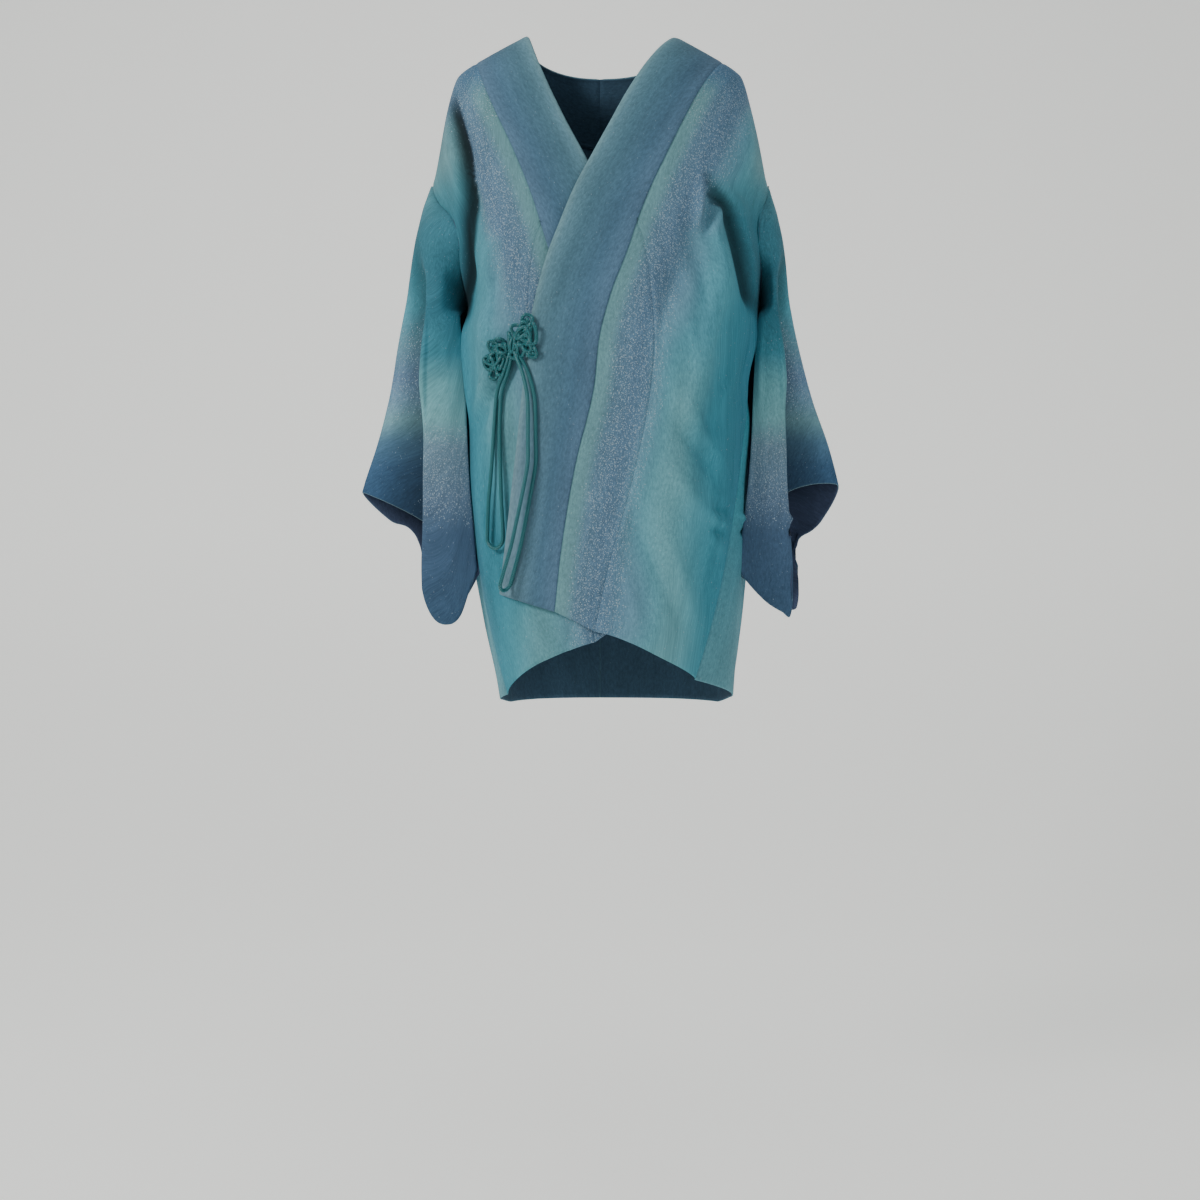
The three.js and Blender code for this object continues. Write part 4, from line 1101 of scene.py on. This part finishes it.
def braid(routes, name, diameter, step, sides, closed=False):
    """Round cords of eight plaits along routes, in one mesh, with closed ends."""
    points, faces, plaits, flats = [], [], [], []
    start = 0
    for route in routes:
        line = rounded(route, step, closed)
        number = len(line)
        tangent = np.gradient(line, axis=0)
        tangent /= np.linalg.norm(tangent, axis=1, keepdims=True)
        normal = np.cross(tangent[0], (0.3, 1, 0.2))
        normals = []
        for direction in tangent:
            normal = normal - direction * np.dot(normal, direction)
            normal = normal / np.linalg.norm(normal)
            normals.append(normal)
        normals = np.array(normals)
        other = np.cross(tangent, normals)
        angle = np.linspace(0, 2 * math.pi, sides, endpoint=False)[None, :]
        along = (np.arange(number) * step)[:, None]
        turn = 2 * math.pi * along / (diameter * 1.2)
        over = np.sin(2 * angle + turn) * np.sin(2 * angle - turn)
        first, second = np.cos(4 * (angle + turn / 2)), np.cos(4 * (angle - turn / 2))
        plait = np.where(over > 0, np.maximum(first, 0.5 * second), np.maximum(second, 0.5 * first))
        radius = diameter / 2 * (0.9 + 0.13 * plait)
        ring = normals[:, None] * np.cos(angle)[..., None] + other[:, None] * np.sin(angle)[..., None]
        tube = line[:, None] + ring * radius[..., None]
        index = start + np.arange(number * sides).reshape(number, sides)
        after = np.roll(index, -1, axis=1)
        faces.append(np.stack([index[:-1], after[:-1], after[1:], index[1:]], -1).reshape(-1, 4))
        points.append(tube.reshape(-1, 3))
        plaits.append((0.5 + 0.5 * plait).ravel())
        flats.append(np.stack([angle * diameter / 2 + 0 * along, along + 0 * angle], -1).reshape(-1, 2))
        start += number * sides
        for end, line_end in ((index[0], line[0]), (index[-1], line[-1])):
            points.append(line_end[None])
            plaits.append([0.4])
            flats.append([[0, 0]])
            fan = np.stack([end, np.roll(end, -1), np.full(sides, start), np.full(sides, start)], -1)
            faces.append(fan)
            start += 1
    mesh = bpy.data.meshes.new(name)
    every = [list(dict.fromkeys(face)) for face in np.concatenate(faces).tolist()]
    mesh.from_pydata((np.concatenate(points) * MM).tolist(), [], every)
    values = np.concatenate([np.asarray(part, float).ravel() for part in plaits])
    mesh.attributes.new("plait", "FLOAT", "POINT").data.foreach_set("value", values.astype(np.float32))
    flat = np.concatenate([np.asarray(part, float).reshape(-1, 2) for part in flats]) * MM
    corners = np.array([vertex for face in every for vertex in face])
    mesh.uv_layers.new(name="cloth").data.foreach_set("uv", flat[corners].astype(np.float32).ravel())
    return placed(mesh, name)


SILK_CORD = cord_material("cord")


def finish_cord(obj, node):
    obj.data.materials.append(SILK_CORD)
    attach(obj, "root")
    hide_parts(node)


def loop_route(rows, lift):
    route = []
    for x, z, off in table_rows(rows):
        _, inward, _, centre = seat(x, z, lift)
        route.append(centre - inward * off)
    return np.array(route)


for node, rows, lift in (("loop_short", SHORT_LOOP, 0), ("loop_long", LONG_LOOP, OVERLAP_LIFT + 1)):
    route = loop_route(rows, lift)
    obj = braid([route], "braid_" + node, CORD, 0.5 / DETAIL, 16)
    finish_cord(obj, node)


# Flower knots and the clasp between them: rings of cord over a woven middle.
# Each ring has its centre across and up from the knot's, its half sizes, its turn in degrees and its lift.
KNOT_CORD = 4.2
KNOTS = {
    "knot_right": {
        "place": (-114, -366, 0),
        "rings": table(
            "a b wide high turn lift",
            (0, 1, 8.5, 11.5, 20, 3.4), (0, 0, 6.0, 9.0, -50, 6.6),
            (-1, 5, 3.0, 3.6, 0, 4.6), (1, -8, 3.2, 4.2, 20, 4.6),
            (-4, 13, 5.4, 6.6, 25, 5.2), (2, 17, 7.0, 4.2, 10, 4.2),
            (8, 9, 5.6, 6.6, -30, 6.4), (8, 9, 3.6, 6.4, 55, 8.0),
            (-8.5, -3, 6.2, 7.8, -10, 5.0), (-8, -2, 3.6, 6.6, 60, 7.4),
            (6.5, -4, 3.4, 9.2, 0, 7.2), (10.5, -5, 3.2, 8.4, 6, 5.0),
            (-3.5, -17, 4.4, 6.4, -15, 4.6), (6, -14, 5.6, 4.4, 20, 4.0),
        ),
    },
    "knot_left": {
        "place": (-81, -346, OVERLAP_LIFT + 1),
        "rings": table(
            "a b wide high turn lift",
            (0, 3, 8.0, 10.0, -20, 3.4), (1, 3, 6.0, 8.4, 35, 6.8),
            (-1, 4, 4.4, 8.6, -60, 8.2), (0, 3, 2.8, 3.4, 0, 5.0),
            (2, 10, 3.4, 5.0, 10, 7.0), (5, -5, 3.2, 5.2, 20, 7.2),
            (-4, -5, 3.4, 5.6, 40, 5.6), (3.5, 16, 2.6, 3.2, 0, 5.0),
            (9.5, -18, 2.4, 2.2, 0, 4.6), (4, 16.5, 6.2, 7.2, -20, 4.8),
            (-9.5, 8, 5.4, 6.2, 40, 5.2), (-9.5, -2, 4.4, 6.4, -15, 4.4),
            (11.5, 1, 3.8, 11.4, -4, 5.6), (9.5, -18, 5.4, 5.2, 0, 4.4),
            (4, -11, 4.6, 6.2, 35, 6.6), (-3.5, -14, 5.0, 7.2, -12, 5.0),
        ),
    },
}
CLASP = {
    "place": (-94, -355, OVERLAP_LIFT),
    "rings": table(
        "a b wide high turn lift",
        (-2.5, 4, 2.4, 11.5, 14, 5.6), (1.5, 3, 2.4, 11.0, -14, 6.8), (5.5, 3, 2.4, 10.0, -34, 5.2),
        (1, -8, 4.8, 4.6, 0, 5.0), (3, -11, 3.2, 5.2, 70, 7.2),
    ),
}


def ring_routes(knot):
    across, inward, up, centre = seat(*knot["place"])
    routes = []
    for k, (a, b, wide, high, turn, lift) in enumerate(table_rows(knot["rings"])):
        t = np.linspace(0, 2 * math.pi, 18, endpoint=False)
        u, v = wide * np.cos(t), high * np.sin(t) * (1 + 0.12 * np.cos(t + k))
        tilt = math.radians(turn)
        off = lift + 1.7 * np.sin(2 * t + k)
        routes.append(
            centre
            + (a + u * math.cos(tilt) - v * math.sin(tilt))[:, None] * across
            + (b + u * math.sin(tilt) + v * math.cos(tilt))[:, None] * up
            - off[:, None] * inward
        )
    return routes


for node, knot in KNOTS.items():
    routes = ring_routes(knot)
    if node == "knot_left":
        routes += ring_routes(CLASP)
    finish_cord(braid(routes, "braid_" + node, KNOT_CORD, 0.6 / DETAIL, 12, closed=True), node)

# Floor, backdrop and light
def backdrop():
    profile = [(-2.6, -1.36)] + [
        (1.1 + 0.9 * math.sin(t), -1.36 + 0.9 * (1 - math.cos(t))) for t in np.linspace(0, math.pi / 2, 17)
    ] + [(2.0, 2.4)]
    points = [(x, y, z) for x in (-4, 4) for y, z in profile]
    number = len(profile)
    faces = [(i, i + 1, number + i + 1, number + i) for i in range(number - 1)]
    mesh = bpy.data.meshes.new("floor")
    mesh.from_pydata(points, [], faces)
    mesh.shade_smooth()
    obj = bpy.data.objects.new("floor", mesh)
    obj.data.materials.append(plain_material("pale_floor", "e4e5e2", 0.9, 0.62))
    scene.collection.objects.link(obj)


def area_light(name, place, aim, size, power, colour):
    """A square light at a place, turned to its aim."""
    data = bpy.data.lights.new(name, "AREA")
    data.shape = "SQUARE"
    data.size = size
    data.energy = power
    data.color = colour
    obj = bpy.data.objects.new(name, data)
    obj.location = place
    direction = np.array(aim, float) - np.array(place, float)
    obj.rotation_euler = (
        math.atan2(math.hypot(direction[0], direction[1]), -direction[2]),
        0,
        math.atan2(-direction[0], direction[1]),
    )
    scene.collection.objects.link(obj)


backdrop()
area_light("key", (-1.9, -1.5, 0.7), (0, 0, -0.4), 0.7, 43, (1.0, 0.98, 0.96))
area_light("fill", (1.5, -1.9, 0.1), (0, 0, -0.45), 1.8, 15, (0.95, 0.98, 1.0))
area_light("top", (0.0, -0.5, 1.7), (0, 0.1, -0.3), 1.6, 14, (1.0, 1.0, 1.0))
world = bpy.data.worlds.new("studio")
scene.world = world
world.use_nodes = True
world.node_tree.nodes["Background"].inputs["Color"].default_value = (0.80, 0.83, 0.86, 1)
world.node_tree.nodes["Background"].inputs["Strength"].default_value = 0.17
